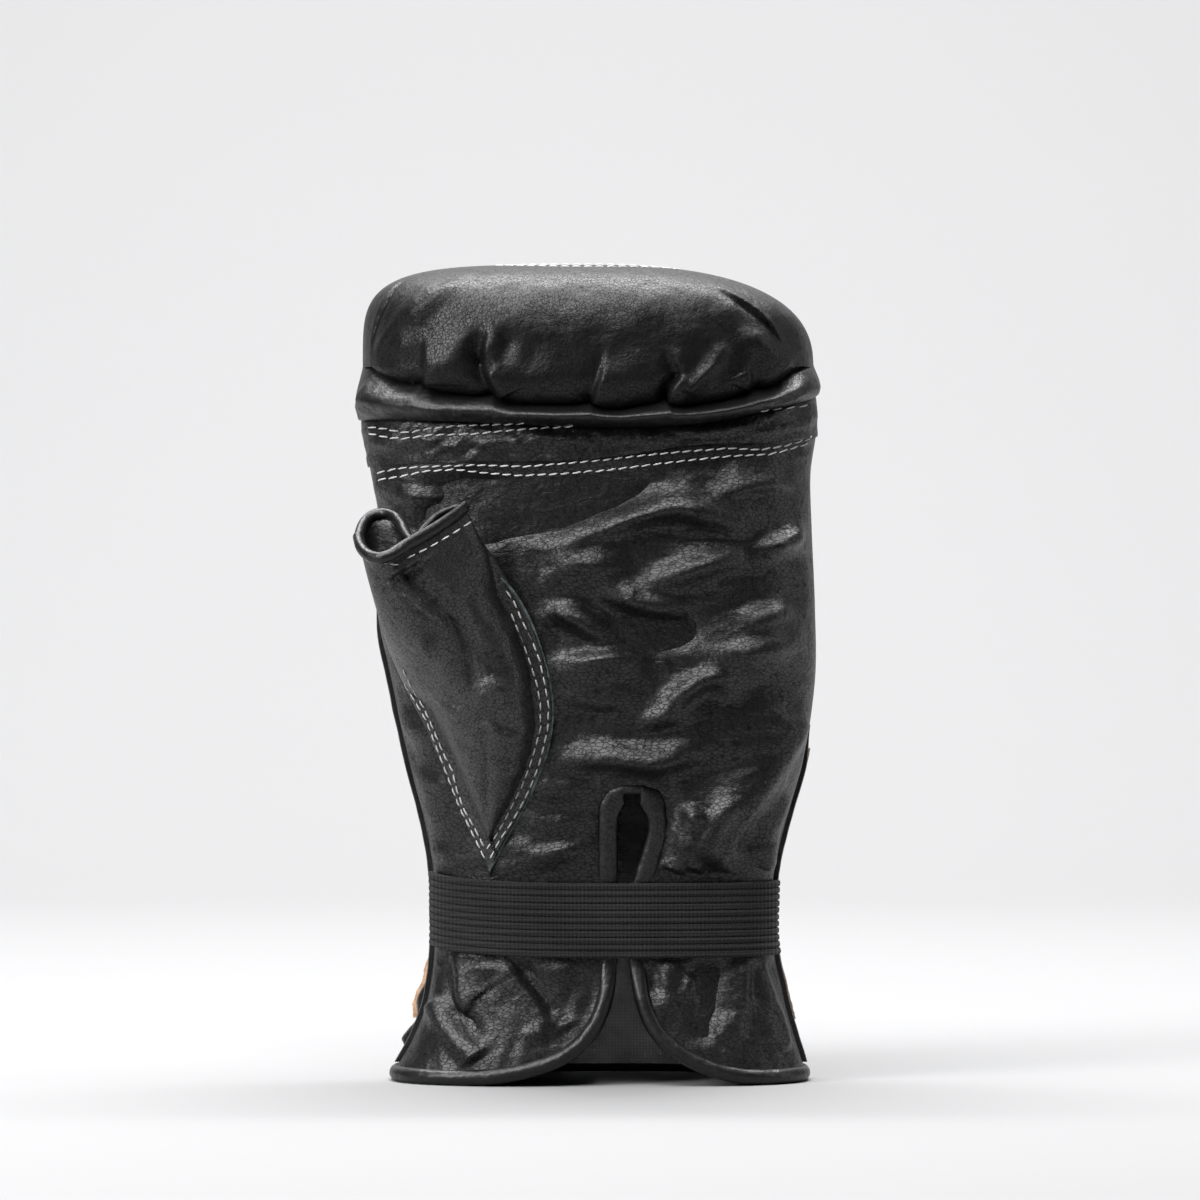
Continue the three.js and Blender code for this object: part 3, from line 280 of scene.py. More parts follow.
def relief(folds, x, z, sharp=0.7, wide=1.0):
    """Sum of folds. Where a fold's two rises differ, the leather steps over itself at its line, the
    more sharply the smaller sharp is. All widths are multiplied by wide."""
    total = np.zeros(np.shape(x))
    for points, left_rise, right_rise, left_width, right_width, *ends in folds:
        left_width, right_width = wide * left_width, wide * right_width
        reach = 3 * max(left_width, right_width)
        low, high = np.min(points, axis=0) - reach, np.max(points, axis=0) + reach
        near = (x > low[0]) & (x < high[0]) & (z > low[1]) & (z < high[1])
        if not near.any():
            continue
        s, share = beside(rounded(points), x[near], z[near])
        first, last = ends or FOLD_ENDS
        fade = smooth(share, -0.001, first) * (1 - smooth(share, 1 - last, 1.001))
        left = left_rise * np.exp(-((np.maximum(s, 0) / left_width) ** 2))
        right = right_rise * np.exp(-((np.minimum(s, 0) / right_width) ** 2))
        total[near] += mix(right, left, 0.5 + 0.5 * np.tanh(s / sharp)) * fade
    return total


# The glove's skin, as the part's source has it

def body_at(z):
    cuff = (WAIST_HEIGHT - z) / WAIST_HEIGHT
    hand = (z - WAIST_HEIGHT) / (CORNER_HEIGHT - WAIST_HEIGHT)
    size = {}
    for column, side in enumerate(SIDES, 1):
        below = mix(WAIST[side], HEM[side], follow(CUFF_ROWS, column, cuff))
        above = mix(WAIST[side], KNUCKLES[side], follow(HAND_ROWS, column, hand))
        size[side] = np.where(z < WAIST_HEIGHT, below, above)
    size["middle"] = (size["right"] - size["left"]) / 2
    size["half"] = (size["right"] + size["left"]) / 2
    return size


def spread(across):
    return np.sin(across * np.pi / 2)


def stack(x, y, z):
    x, y, z = np.broadcast_arrays(x, y, z)
    return np.stack([x, y, z], axis=-1).astype(float)


def plain_skin(across, z, side):
    size = body_at(z)
    x = spread(across)
    palm_depth = size["palm"] * arch(x, PALM_ROUNDNESS)
    back_depth = size["back"] * arch(x, BACK_ROUNDNESS)
    depth = palm_depth if side < 0 else back_depth
    return stack(size["middle"] + size["half"] * x, side * (GAP / 2 + depth), z)


def skin_x(across, z, side=-1):
    return plain_skin(across, z, side)[..., 0]


def skin_normal(across, z, side):
    step = 0.02
    high = plain_skin(np.minimum(across + step, 1), z, side)
    low = plain_skin(np.maximum(across - step, -1), z, side)
    along = (high - low) * side
    length = np.hypot(along[..., 0], along[..., 1])
    return stack(-along[..., 1] / length, along[..., 0] / length, 0 * length)


def skin(across, z, side, out):
    return plain_skin(across, z, side) + skin_normal(across, z, side) * np.asarray(out)[..., None]


def across_at(x, z):
    size = body_at(z)
    return np.arcsin(np.clip((x - size["middle"]) / size["half"], -1, 1)) * 2 / np.pi


def band_seam(across):
    return BAND_SEAM_HEIGHT + BAND_SEAM_RISE * follow(BAND_SEAM, 1, across)


def collar_seam(across):
    return COLLAR_SEAM_HEIGHT + COLLAR_SEAM_RISE * follow(COLLAR_SEAM, 1, across)


def elastic_bottom(across):
    return ELASTIC_BOTTOM + ELASTIC_LEFT_LIFT * np.maximum(0, -across) ** 2


# Meshes

CORNER_SIZE = body_at(np.array(CORNER_HEIGHT))
roll_low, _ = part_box("finger_roll")
welt_low, welt_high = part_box("left_welt")
OFFSET = np.array([
    roll_low[0] * 1000 + float(CORNER_SIZE["left"]),
    (welt_low[1] + welt_high[1]) * 500,
    0.0,
])


def grid(rows, columns):
    """Shares of the rows and of the columns of a grid of points."""
    return np.meshgrid(np.linspace(0, 1, rows + 1), np.linspace(0, 1, columns + 1), indexing="ij")


# Every third or second row and column of a grid, for the side of a wall that isn't seen
FEW = (slice(None, None, 3), slice(None, None, 3))
FEW_OF_ELASTIC = (slice(None, None, 2), slice(None, None, 2))


def grid_faces(rows, columns, start=0):
    a = (np.arange(rows)[:, None] * (columns + 1) + np.arange(columns)[None, :]).ravel() + start
    return np.stack([a, a + 1, a + columns + 2, a + columns + 1], axis=1).tolist()


def wall(outer, inner):
    """A closed wall between a fine outer grid of points and a coarser inner one."""
    rows, columns = outer.shape[0] - 1, outer.shape[1] - 1
    few_rows, few_columns = inner.shape[0] - 1, inner.shape[1] - 1
    step = rows // few_rows
    base = outer.shape[0] * outer.shape[1]
    faces = grid_faces(rows, columns)
    faces += [f[::-1] for f in grid_faces(few_rows, few_columns, base)]

    def rim(outside, inside, turned):
        for k in range(len(inside) - 1):
            face = list(outside[k * step:(k + 1) * step + 1]) + [inside[k + 1], inside[k]]
            faces.append(face if turned else face[::-1])

    out = np.arange(base).reshape(rows + 1, columns + 1)
    inn = base + np.arange(inner.shape[0] * inner.shape[1]).reshape(few_rows + 1, few_columns + 1)
    rim(out[0].tolist(), inn[0].tolist(), False)
    rim(out[-1].tolist(), inn[-1].tolist(), True)
    rim(out[:, 0].tolist(), inn[:, 0].tolist(), True)
    rim(out[:, -1].tolist(), inn[:, -1].tolist(), False)
    return np.concatenate([outer.reshape(-1, 3), inner.reshape(-1, 3)]), faces


def tube(rings, looped=False):
    """A closed tube through rings of points."""
    count, sides, _ = rings.shape
    faces = []
    for i in range(count if looped else count - 1):
        for j in range(sides):
            a, b = i * sides, ((i + 1) % count) * sides
            k = (j + 1) % sides
            faces.append([a + j, a + k, b + k, b + j])
    if not looped:
        faces.append(list(range(sides))[::-1])
        faces.append([(count - 1) * sides + j for j in range(sides)])
    return rings.reshape(-1, 3), faces


def weld(points, faces):
    """Joins points that lie on each other and drops the faces that then lie inside."""
    _, first, number = np.unique(np.round(points, 4), axis=0, return_index=True, return_inverse=True)
    number = number.ravel().tolist()
    kept = {}
    for face in faces:
        ring = [number[i] for i in face]
        ring = [v for k, v in enumerate(ring) if v != ring[k - 1]]
        if len(set(ring)) < 3:
            continue
        key = tuple(sorted(ring))
        if key in kept:
            del kept[key]
        else:
            kept[key] = ring
    return points[first], list(kept.values())


def joined(parts):
    """Several pairs of points and faces as one."""
    points, faces, start = [], [], 0
    for some_points, some_faces in parts:
        points.append(some_points)
        faces += [[i + start for i in face] for face in some_faces]
        start += len(some_points)
    return np.concatenate(points), faces


def volume(points, faces):
    total = 0.0
    for size in {len(f) for f in faces}:
        some = np.array([f for f in faces if len(f) == size])
        a = points[some[:, 0]]
        for k in range(1, size - 1):
            b, c = points[some[:, k]], points[some[:, k + 1]]
            total += np.einsum("ij,ij->i", a, np.cross(b, c)).sum()
    return total


built = {}


def add_piece(name, shape, material, nodes=(), crisp=50, cut=None):
    """Makes a piece of the glove that rides on its body, and keeps its surface for the stitches.
    cut is the material of a wall's cut edges, which are its faces with more than four corners."""
    points, faces = shape
    if volume(points, faces) < 0:
        faces = [f[::-1] for f in faces]
    mesh = bpy.data.meshes.new(name)
    mesh.from_pydata(((points + OFFSET) / 1000).tolist(), [], faces)
    mesh.materials.append(material)
    if cut:
        mesh.materials.append(cut)
        mesh.polygons.foreach_set("material_index", [int(len(face) > 4) for face in faces])
    mesh.shade_smooth()
    mesh.set_sharp_from_angle(angle=math.radians(crisp))
    piece = bpy.data.objects.new(name, mesh)
    bpy.context.scene.collection.objects.link(piece)
    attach(piece, "root")
    if nodes:
        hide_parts(*nodes)
    built[name] = (points, faces)
    return piece


def surface_of(*names):
    points, faces = joined([built[name] for name in names])
    return BVHTree.FromPolygons(points.tolist(), faces)


# Materials

def node(tree, kind, **settings):
    made = tree.nodes.new(kind)
    for key, value in settings.items():
        if key in made.inputs:
            made.inputs[key].default_value = value
        else:
            setattr(made, key, value)
    return made


def new_material(name, color, roughness, specular=0.5, sheen=0.0):
    material = bpy.data.materials.new(name)
    material.use_nodes = True
    material.diffuse_color = (*color, 1)
    tree = material.node_tree
    shader = tree.nodes["Principled BSDF"]
    shader.inputs["Base Color"].default_value = (*color, 1)
    shader.inputs["Roughness"].default_value = roughness
    shader.inputs["Specular IOR Level"].default_value = specular
    shader.inputs["Sheen Weight"].default_value = sheen
    return material, tree, shader


def mapped(tree, scale=(1, 1, 1), turn=(0, 0, 0)):
    """The piece's own coordinates, stretched and turned."""
    place = node(tree, "ShaderNodeTexCoord")
    mapping = node(tree, "ShaderNodeMapping")
    mapping.inputs["Scale"].default_value = scale
    mapping.inputs["Rotation"].default_value = turn
    tree.links.new(place.outputs["Object"], mapping.inputs["Vector"])
    return mapping.outputs["Vector"]


def bump(tree, height, distance, strength, below=None):
    made = node(tree, "ShaderNodeBump", Strength=strength, Distance=distance)
    tree.links.new(height, made.inputs["Height"])
    if below is not None:
        tree.links.new(below, made.inputs["Normal"])
    return made.outputs["Normal"]


def varied_color(tree, shader, where, scale, dark, light):
    """Base colour that drifts between two tones."""
    tone = node(tree, "ShaderNodeTexNoise", Scale=scale, Detail=4.0)
    tree.links.new(where, tone.inputs["Vector"])
    ramp = node(tree, "ShaderNodeValToRGB")
    ramp.color_ramp.elements[0].position = 0.35
    ramp.color_ramp.elements[0].color = (*dark, 1)
    ramp.color_ramp.elements[1].position = 0.7
    ramp.color_ramp.elements[1].color = (*light, 1)
    tree.links.new(tone.outputs["Fac"], ramp.inputs["Fac"])
    tree.links.new(ramp.outputs["Color"], shader.inputs["Base Color"])
    return tone.outputs["Fac"]


BLACK = (0.005, 0.005, 0.0055)
BLACK_DARK = (0.0014, 0.0014, 0.0016)
BLACK_LIGHT = (0.0032, 0.0032, 0.0036)
# Large and small cells. Columns: size as a share of the cell, height
GRAIN_PARTS = ((1.0, 1.0), (0.45, 0.15))
GRAIN_HEIGHT = 1.15
GRAIN_WARP = 0.0011
GRAIN_DEPTH = 0.0001
CREASE_DEPTH = 0.0003
SOFT_DEPTH = 0.0018
GROOVE_WIDTH = 0.13
GROOVE_ROUGHNESS = 0.08
ROUGHNESS_DRIFT = (-0.06, 0.08)


def leather(name, cell=1.0, squeeze=1.0, turn=0.0, groove=0.5, crease=0.3, crease_size=7.0,
            roughness=0.4, specular=0.5, worn=0.3):
    """Black leather. Its grain is cells of a size in millimetres, squeezed to be wider than tall and
    turned. The grooves between them are rougher and keep only the share worn of the shine. Fine
    creases lie over it."""
    material, tree, shader = new_material(name, BLACK, roughness, specular)
    plain = mapped(tree)
    lined = mapped(tree, (1, 1, squeeze), (0, turn, 0))
    drift = varied_color(tree, shader, plain, 35.0, BLACK_DARK, BLACK_LIGHT)

    warp = node(tree, "ShaderNodeTexNoise", Scale=420 / cell, Detail=3.0)
    tree.links.new(plain, warp.inputs["Vector"])
    shift = node(tree, "ShaderNodeVectorMath", operation="MULTIPLY_ADD")
    shift.inputs[1].default_value = (cell * GRAIN_WARP,) * 3
    tree.links.new(warp.outputs["Color"], shift.inputs[0])
    tree.links.new(lined, shift.inputs[2])
    heights = []
    for part, share in GRAIN_PARTS:
        size = cell * part
        cells = node(tree, "ShaderNodeTexVoronoi", feature="DISTANCE_TO_EDGE", Scale=1000 / size)
        tree.links.new(shift.outputs["Vector"], cells.inputs["Vector"])
        level = node(tree, "ShaderNodeMapRange", interpolation_type="SMOOTHSTEP")
        level.inputs["From Max"].default_value = GROOVE_WIDTH
        level.inputs["To Max"].default_value = share
        tree.links.new(cells.outputs["Distance"], level.inputs["Value"])
        heights.append(level.outputs["Result"])
    grain = node(tree, "ShaderNodeMath", operation="ADD")
    tree.links.new(heights[0], grain.inputs[0])
    tree.links.new(heights[1], grain.inputs[1])

    lines = node(tree, "ShaderNodeTexNoise", noise_type="RIDGED_MULTIFRACTAL",
                 Scale=1000 / crease_size, Detail=4.0, Roughness=0.55, Lacunarity=2.2)
    lines.inputs["Offset"].default_value = 0.9
    lines.inputs["Gain"].default_value = 1.4
    lines.inputs["Distortion"].default_value = 0.5
    tree.links.new(lined, lines.inputs["Vector"])
    soft = node(tree, "ShaderNodeTexNoise", Scale=170.0, Detail=3.0)
    tree.links.new(plain, soft.inputs["Vector"])

    under = bump(tree, soft.outputs["Fac"], SOFT_DEPTH, 0.4)
    creased = bump(tree, lines.outputs["Fac"], CREASE_DEPTH, crease, under)
    grained = bump(tree, grain.outputs["Value"], GRAIN_DEPTH, groove, creased)
    tree.links.new(grained, shader.inputs["Normal"])

    shine = node(tree, "ShaderNodeMapRange")
    shine.inputs["From Max"].default_value = GRAIN_HEIGHT
    shine.inputs["To Min"].default_value = specular * worn
    shine.inputs["To Max"].default_value = specular * 1.1
    tree.links.new(grain.outputs["Value"], shine.inputs["Value"])
    tree.links.new(shine.outputs["Result"], shader.inputs["Specular IOR Level"])

    rough = node(tree, "ShaderNodeMapRange")
    rough.inputs["To Min"].default_value = roughness + GROOVE_ROUGHNESS + ROUGHNESS_DRIFT[0]
    rough.inputs["To Max"].default_value = roughness + GROOVE_ROUGHNESS + ROUGHNESS_DRIFT[1]
    tree.links.new(drift, rough.inputs["Value"])
    polished = node(tree, "ShaderNodeMath", operation="MULTIPLY_ADD")
    polished.inputs[1].default_value = -GROOVE_ROUGHNESS
    tree.links.new(grain.outputs["Value"], polished.inputs[0])
    tree.links.new(rough.outputs["Result"], polished.inputs[2])
    tree.links.new(polished.outputs["Value"], shader.inputs["Roughness"])
    return material


def knit(name, color, cell, roughness=0.85, depth=0.0003):
    """Fine knit or webbing, with cells of a size in millimetres."""
    material, tree, shader = new_material(name, color, roughness, specular=0.25, sheen=0.05)
    where = mapped(tree)
    dark = tuple(c * 0.75 for c in color)
    light = tuple(c * 1.3 for c in color)
    varied_color(tree, shader, where, 60.0, dark, light)
    both = node(tree, "ShaderNodeMath", operation="ADD")
    for number, way in enumerate("XZ"):
        rows = node(tree, "ShaderNodeTexWave", wave_type="BANDS", bands_direction=way,
                    Scale=1000 / cell / 20 * math.pi, Distortion=0.6, Detail=1.0)
        tree.links.new(where, rows.inputs["Vector"])
        tree.links.new(rows.outputs["Fac"], both.inputs[number])
    fuzz = node(tree, "ShaderNodeTexNoise", Scale=2500.0, Detail=2.0)
    tree.links.new(where, fuzz.inputs["Vector"])
    first = bump(tree, both.outputs["Value"], depth, 0.35)
    tree.links.new(bump(tree, fuzz.outputs["Fac"], 0.0002, 0.5, first), shader.inputs["Normal"])
    return material


def raw_edge(name, color, light):
    """The raw fibrous edge of cut leather."""
    material, tree, shader = new_material(name, color, 0.85, specular=0.25)
    where = mapped(tree)
    varied_color(tree, shader, where, 400.0, color, light)
    fibre = node(tree, "ShaderNodeTexNoise", Scale=1800.0, Detail=3.0)
    tree.links.new(where, fibre.inputs["Vector"])
    tree.links.new(bump(tree, fibre.outputs["Fac"], 0.0003, 0.6), shader.inputs["Normal"])
    return material


def thread(name, color):
    """Twisted sewing thread."""
    material, tree, shader = new_material(name, color, 0.55, specular=0.4, sheen=0.2)
    where = mapped(tree, (1, 1, 1), (0, math.radians(35), 0))
    varied_color(tree, shader, where, 300.0, tuple(c * 0.75 for c in color), color)
    twist = node(tree, "ShaderNodeTexWave", wave_type="BANDS", bands_direction="X", Scale=330.0)
    tree.links.new(where, twist.inputs["Vector"])
    tree.links.new(bump(tree, twist.outputs["Fac"], 0.0001, 0.5), shader.inputs["Normal"])
    return material


palm_leather = leather("palm_leather", cell=2.1, squeeze=1.9, groove=0.32, crease=0.3,
                       crease_size=10.0, roughness=0.41, specular=0.44, worn=0.3)
roll_leather = leather("roll_leather", cell=1.1, groove=0.36, crease=0.12, roughness=0.4,
                       specular=0.3, worn=0.3)
band_leather = leather("band_leather", cell=1.7, squeeze=1.6, turn=0.4, groove=0.35, crease=0.3,
                       roughness=0.41, specular=0.46, worn=0.3)
smooth_leather = leather("smooth_leather", cell=1.2, groove=0.15, crease=0.1, roughness=0.4,
                         specular=0.4, worn=0.6)
thumb_leather = leather("thumb_leather", cell=1.4, squeeze=1.3, turn=0.7, groove=0.32, crease=0.25,
                        roughness=0.43, specular=0.75, worn=0.3)
flap_leather = leather("flap_leather", cell=1.2, groove=0.4, crease=0.2, roughness=0.36,
                       specular=0.42, worn=0.2)
piping_leather = leather("piping_leather", cell=1.0, groove=0.1, crease=0.1, roughness=0.38,
                         specular=0.42, worn=0.7)
elastic_knit = knit("elastic_knit", (0.0085, 0.0085, 0.0083), 0.6, depth=0.0007)
# The lining is a black knit. Its colour is painted pale grey to stand in for the fill light that reaches
# it inside the cuff and through the vent.
lining_knit_painted_light = knit("lining_knit_painted_light", (0.6, 0.6, 0.61), 0.5)
tan_raw = raw_edge("tan_raw", (0.32, 0.19, 0.11), (0.55, 0.36, 0.24))
green_raw = raw_edge("green_raw", (0.035, 0.045, 0.045), (0.1, 0.13, 0.13))
white_thread = thread("white_thread", (0.52, 0.52, 0.51))

# Palm. Each fold: its line, the rise left and right of it, the width left and right of it and,
# where given, the shares of the line over which its two ends fade
PALM_FOLDS = [
    (((35, 180.4), (43, 181.6), (49, 183), (57, 184.2), (68, 182.7)), 1.4, -0.2, 4.0, 1.2),
    (((-16, 163), (-6, 169), (6, 172.6), (18, 177), (27, 179), (35, 176), (47, 173.4), (60, 172)),
     1.9, 1.9, 4.5, 2.2),
    (((-16, 160), (0, 160.5), (15, 161)), 1.2, 1.2, 3.5, 3.5),
    (((15, 153), (26, 157), (38, 161), (52, 163.5)), 1.5, 1.5, 3.0, 2.2),
    (((0, 153), (9, 151), (17.6, 147.5), (26.5, 145.7), (36, 147)), 1.5, 1.5, 3.0, 1.5),
    (((2, 141), (14, 139), (30, 140), (42, 141)), -1.5, -1.5, 4.0, 3.5),
    (((-16, 147.5), (-9, 146.5), (-3, 143.5), (3, 140), (9, 138)), 1.3, 1.3, 2.8, 1.8),
    (((68, 176), (63.5, 170), (56, 166), (49, 163)), 1.3, 1.3, 2.2, 2.0),
    (((33, 130), (41, 131.5), (50, 134), (59, 138), (68, 145)), 1.8, 1.8, 4.5, 4.0),
    (((18, 112), (26.5, 118.8), (32.3, 124), (38.5, 126), (44, 122), (50, 118)), 1.4, 1.4, 2.4, 1.8),
    (((-13, 129.5), (0, 131), (14, 132), (22, 133)), 1.4, 1.2, 2.0, 5.0),
    (((-12, 122), (2, 118.5), (18, 118)), 0.9, 0.9, 4.0, 1.6),
    (((14, 111.5), (26, 114), (33, 116)), 0.9, 0.9, 2.0, 1.6),
    (((44, 141.5), (56, 146), (65, 149.5)), 1.0, 1.0, 2.6, 2.2),
    (((-16, 98), (-3, 102), (12, 100.6), (21, 99.6), (32, 102.3), (44, 100.5)), 1.9, 1.9, 3.2, 2.2),
    (((71, 121), (64, 108.5), (58, 102), (49, 87), (43, 76), (36, 66)), 1.5, 1.5, 3.0, 6.5, 0.3, 0.1),
    (((58, 87), (54, 77), (51, 66)), 0.9, 0.9, 2.0, 2.0),
    (((64, 90), (60, 78), (55, 66)), 0.9, 0.9, 2.4, 2.0, 0.2, 0.05),
    (((45, 92), (38, 80), (32, 66)), 0.8, 0.8, 2.0, 2.0, 0.3, 0.05),
    (((33, 88), (30, 78), (26, 66)), 0.9, 0.9, 2.2, 2.0, 0.2, 0.05),
    (((-62, 182), (-50, 181.5), (-40, 179)), 0.9, 0.9, 2.0, 1.4),
    (((-64, 175), (-52, 176.5), (-44, 174)), 0.8, 0.8, 2.2, 1.6),
    (((-60, 173), (-20, 175), (14, 180.5), (36, 187)), -1.7, -1.7, 7.0, 4.0, 0.15, 0.3),
    (((3.7, 62), (2.6, 71.6), (2.2, 80), (3.2, 86), (5, 91), (8.1, 95.4), (13.9, 97.7), (20.7, 95.9),
      (26, 91), (29.6, 86), (31.4, 80), (29.8, 73.4), (26, 63)), 0.25, -0.35, 2.0, 5.0, 0.02, 0.02),
    (((-22, 90), (-10, 92), (2, 89)), 0.8, 0.8, 2.6, 2.2),
    (((-24, 82), (-12, 80), (0, 83)), 0.7, 0.7, 2.4, 2.0),
    (((-26, 74), (-14, 71), (2, 74)), 0.8, 0.8, 2.4, 2.0),
]

FLAP_FOLDS = [
    (((-27.2, 42.9), (-24.3, 39), (-20.2, 33), (-16, 27.6), (-12.6, 22.6), (-12.2, 17.4), (-12.3, 12)),
     -2.2, 2.2, 5.0, 4.5, 0.02, 0.15),
    (((-35, 43), (-31, 37.5), (-28, 33.6)), 1.3, 1.3, 2.4, 2.4, 0.02, 0.4),
    (((-42.2, 44), (-42, 38.6), (-41.6, 34.4), (-41.4, 30.2), (-40.9, 24.3), (-38.8, 21), (-35, 20)),
     2.0, -1.6, 7.0, 2.0, 0.02, 0.2),
    (((-44.3, 26.1), (-42.2, 22), (-38.8, 19), (-35, 15.5), (-32, 12)), -2.0, -2.0, 2.6, 2.2),
    (((-48.5, 26.4), (-45.6, 22.2), (-42.2, 18), (-38.8, 14), (-35.4, 11), (-33.3, 8)),
     2.4, 2.4, 2.0, 3.0, 0.1, 0.1),
    (((-10.9, 24.3), (-10.5, 18.4), (-9.2, 12.5)), 1.8, 1.8, 1.6, 1.4),
    (((-7.6, 21), (-5.5, 17.6)), 1.2, 1.2, 1.5, 1.5),
    (((0.1, 38.7), (0.1, 24.3), (-4.2, 17.6)), -1.2, -1.2, 2.6, 2.6),
    (((-20, 38), (-8, 38.5), (-4, 34)), 0.9, 0.9, 3.5, 3.0),
    (((20.3, 41), (20.3, 30.2), (21.6, 24.3)), -1.6, -1.6, 2.0, 2.0),
    (((23.7, 40), (24.1, 31), (25.7, 26), (28, 24)), 1.5, 1.5, 2.2, 2.2, 0.02, 0.2),
    (((36.4, 41), (33.4, 35.7), (30.9, 33)), -1.4, -1.4, 1.8, 1.8, 0.02, 0.3),
    (((33.5, 36), (31, 29), (30, 25)), 1.3, 1.3, 1.6, 1.6),
    (((40.5, 42), (37.6, 30.2), (37.2, 21.8), (35.9, 12)), -2.4, -2.4, 2.6, 2.6, 0.02, 0.15),
    (((41, 23.9), (41.8, 17.6), (39.7, 12)), 1.8, 1.8, 2.4, 2.0),
    (((51.6, 41), (50.3, 35.3), (50, 30.2), (50.5, 24)), -1.4, 1.4, 2.4, 3.0, 0.02, 0.2),
    (((54, 41), (56.6, 31), (60, 23.5), (62.5, 15.5), (63.6, 10)), -1.0, 1.6, 2.4, 2.4, 0.02, 0.1),
    (((56.2, 26), (56.6, 10.8)), 1.1, 1.1, 1.6, 1.6),
    (((47, 30), (46, 18), (47, 9)), 0.8, 0.8, 2.0, 2.0),
]

PALM_FOLD_HEIGHT = 3.4
FLAP_FOLD_HEIGHT = 1.15
PALM_WRINKLE_HEIGHT = 0.15

# Soft waves between the folds. Columns: height, length, spacing, seed, slant
PALM_WAVES = [(2.4, 30, 10, 3, 0.0), (0.6, 17, 5, 9, 0.0)]
FLAP_WAVES = [(0.9, 16, 7, 21, math.pi / 2)]
BAND_WAVES = [(1.6, 9, 4.2, 31, 0.4)]


def flat_by_elastic(across, z):
    """0 where the elastic presses the leather flat, 1 away from it."""
    bottom = elastic_bottom(across)
    return smooth(np.maximum(bottom - z, z - bottom - ELASTIC_WIDTH), 0.0, 5.0)


def waves(rows, x, z):
    return sum(height * billows(x, z, *shape) for height, *shape in rows)


def palm_relief(across, z):
    x = skin_x(across, z)
    calm_sides = off_sides(across, 0.02, 0.16)
    calm_band = smooth(band_seam(across) - z, 0.0, 6.0)
    calm_folds = off_sides(across, 0.04, 0.3)
    on_palm = smooth(z, ELASTIC_BOTTOM, ELASTIC_BOTTOM + ELASTIC_WIDTH)
    palm = PALM_FOLD_HEIGHT * relief(PALM_FOLDS, x, z, 2.0, 1.6) * calm_folds
    palm += waves(PALM_WAVES, x, z) * calm_sides
    palm += PALM_WRINKLE_HEIGHT * (wrinkles(x, z, 9.0, 2.6, 11) - 0.5) * calm_sides
    flaps = FLAP_FOLD_HEIGHT * relief(FLAP_FOLDS, x, z, 1.6, 1.5) + waves(FLAP_WAVES, x, z)
    return mix(flaps * calm_sides, palm, on_palm) * calm_band * flat_by_elastic(across, z)


def edge_x(z, column):
    """The vent's and the flaps' edge seen from the front; column 1 is left, 2 is right."""
    reach = -LEFT_FLAP_REACH if column == 1 else RIGHT_FLAP_REACH
    start = VENT_X + VENT_REACH * VENT_ROWS[0, column]
    vent = VENT_X + VENT_REACH * follow(VENT_ROWS, column, z / VENT_TOP)
    flap = start + reach * follow(FLAP_ROWS, column, z / ELASTIC_BOTTOM)
    return np.where(z < ELASTIC_BOTTOM, flap, vent)


FEET_TOP = 9.0
VENT_NOTCH = 86.0
UPPER_ROWS = 126


def palm_levels():
    """Heights of the palm's rows, closer together at the feet of the flaps and the vent's top."""
    feet = np.linspace(PIPING_FOOT, FEET_TOP, 24, endpoint=False)
    flaps = np.linspace(FEET_TOP, VENT_NOTCH, 108, endpoint=False)
    vent = np.linspace(VENT_NOTCH, VENT_TOP, 18, endpoint=False)
    return np.concatenate([feet, flaps, vent])


def palm_panel():
    low_levels = palm_levels()
    parts = []
    for column, columns in ((1, 126), (2, 102)):
        share = np.linspace(0, 1, columns + 1)[None, :]
        levels = low_levels[:, None]
        edge = across_at(edge_x(levels, column), levels)
        far = -1.0 if column == 1 else 1.0
        low_across = mix(far, edge, share)
        middle = float(across_at(np.array(edge_x(np.array(VENT_TOP), 1)), np.array(VENT_TOP)))
        up = np.linspace(0, 1, UPPER_ROWS + 1)[:, None]
        high_across = mix(far, middle * (1 - up), share)
        high_z = mix(VENT_TOP, band_seam(high_across) - GAP / 2, up)
        across = np.concatenate([low_across, high_across])
        z = np.concatenate([np.broadcast_to(levels, low_across.shape), high_z])
        outer = skin(across, z, -1, palm_relief(across, z))
        inner = skin(across[FEW], z[FEW], -1, -LEATHER + 0 * z[FEW])
        parts.append(wall(outer, inner))
    return weld(*joined(parts))


add_piece("palm_skin", palm_panel(), palm_leather, ["palm_panel"])


# Finger band and collar

BAND_FOLDS = [
    (((-70, 196), (-60, 199), (-50, 198)), 1.0, 1.0, 2.4, 1.8),
    (((-58, 204), (-48, 199), (-40, 197)), 1.0, 1.0, 1.8, 1.6),
    (((-42, 201), (-30, 197.5), (-16, 198)), 1.0, 1.0, 2.2, 1.8),
    (((-22, 201), (-8, 198.5), (6, 200.5)), 0.9, 0.9, 2.0, 1.6),
    (((2, 197.5), (16, 200.5), (30, 199)), 1.0, 1.0, 2.0, 1.8),
    (((22, 203), (34, 201), (48, 204)), 0.8, 0.8, 1.8, 1.6),
    (((38, 201), (50, 205), (66, 211)), 1.3, 1.3, 2.0, 1.8),
    (((44, 198.5), (56, 202), (68, 205)), 1.2, 1.2, 1.8, 1.6),
    (((50, 208), (60, 209), (68, 213)), 1.0, 1.0, 1.4, 1.4),
]
COLLAR_FOLDS = [
    (((-69, 213), (-58, 210.5), (-44, 208.5), (-28, 207.5)), 1.6, 1.6, 5.0, 3.2, 0.05, 0.5),
    (((-30, 207.6), (-10, 206.6), (12, 206.8), (34, 207.4), (48, 209.5), (60, 214.5), (68, 220)),
     1.1, 1.1, 1.5, 2.0, 0.2, 0.1),
    (((-66, 207), (-58, 206.3), (-50, 205)), -0.9, -0.9, 1.4, 1.4),
    (((52, 206.5), (60, 211), (68, 217)), 0.9, 0.9, 1.3, 1.3),
]
FINGER_BAND_BULGE = 1.6
LAP = 0.6
LAP_RISE = 0.7
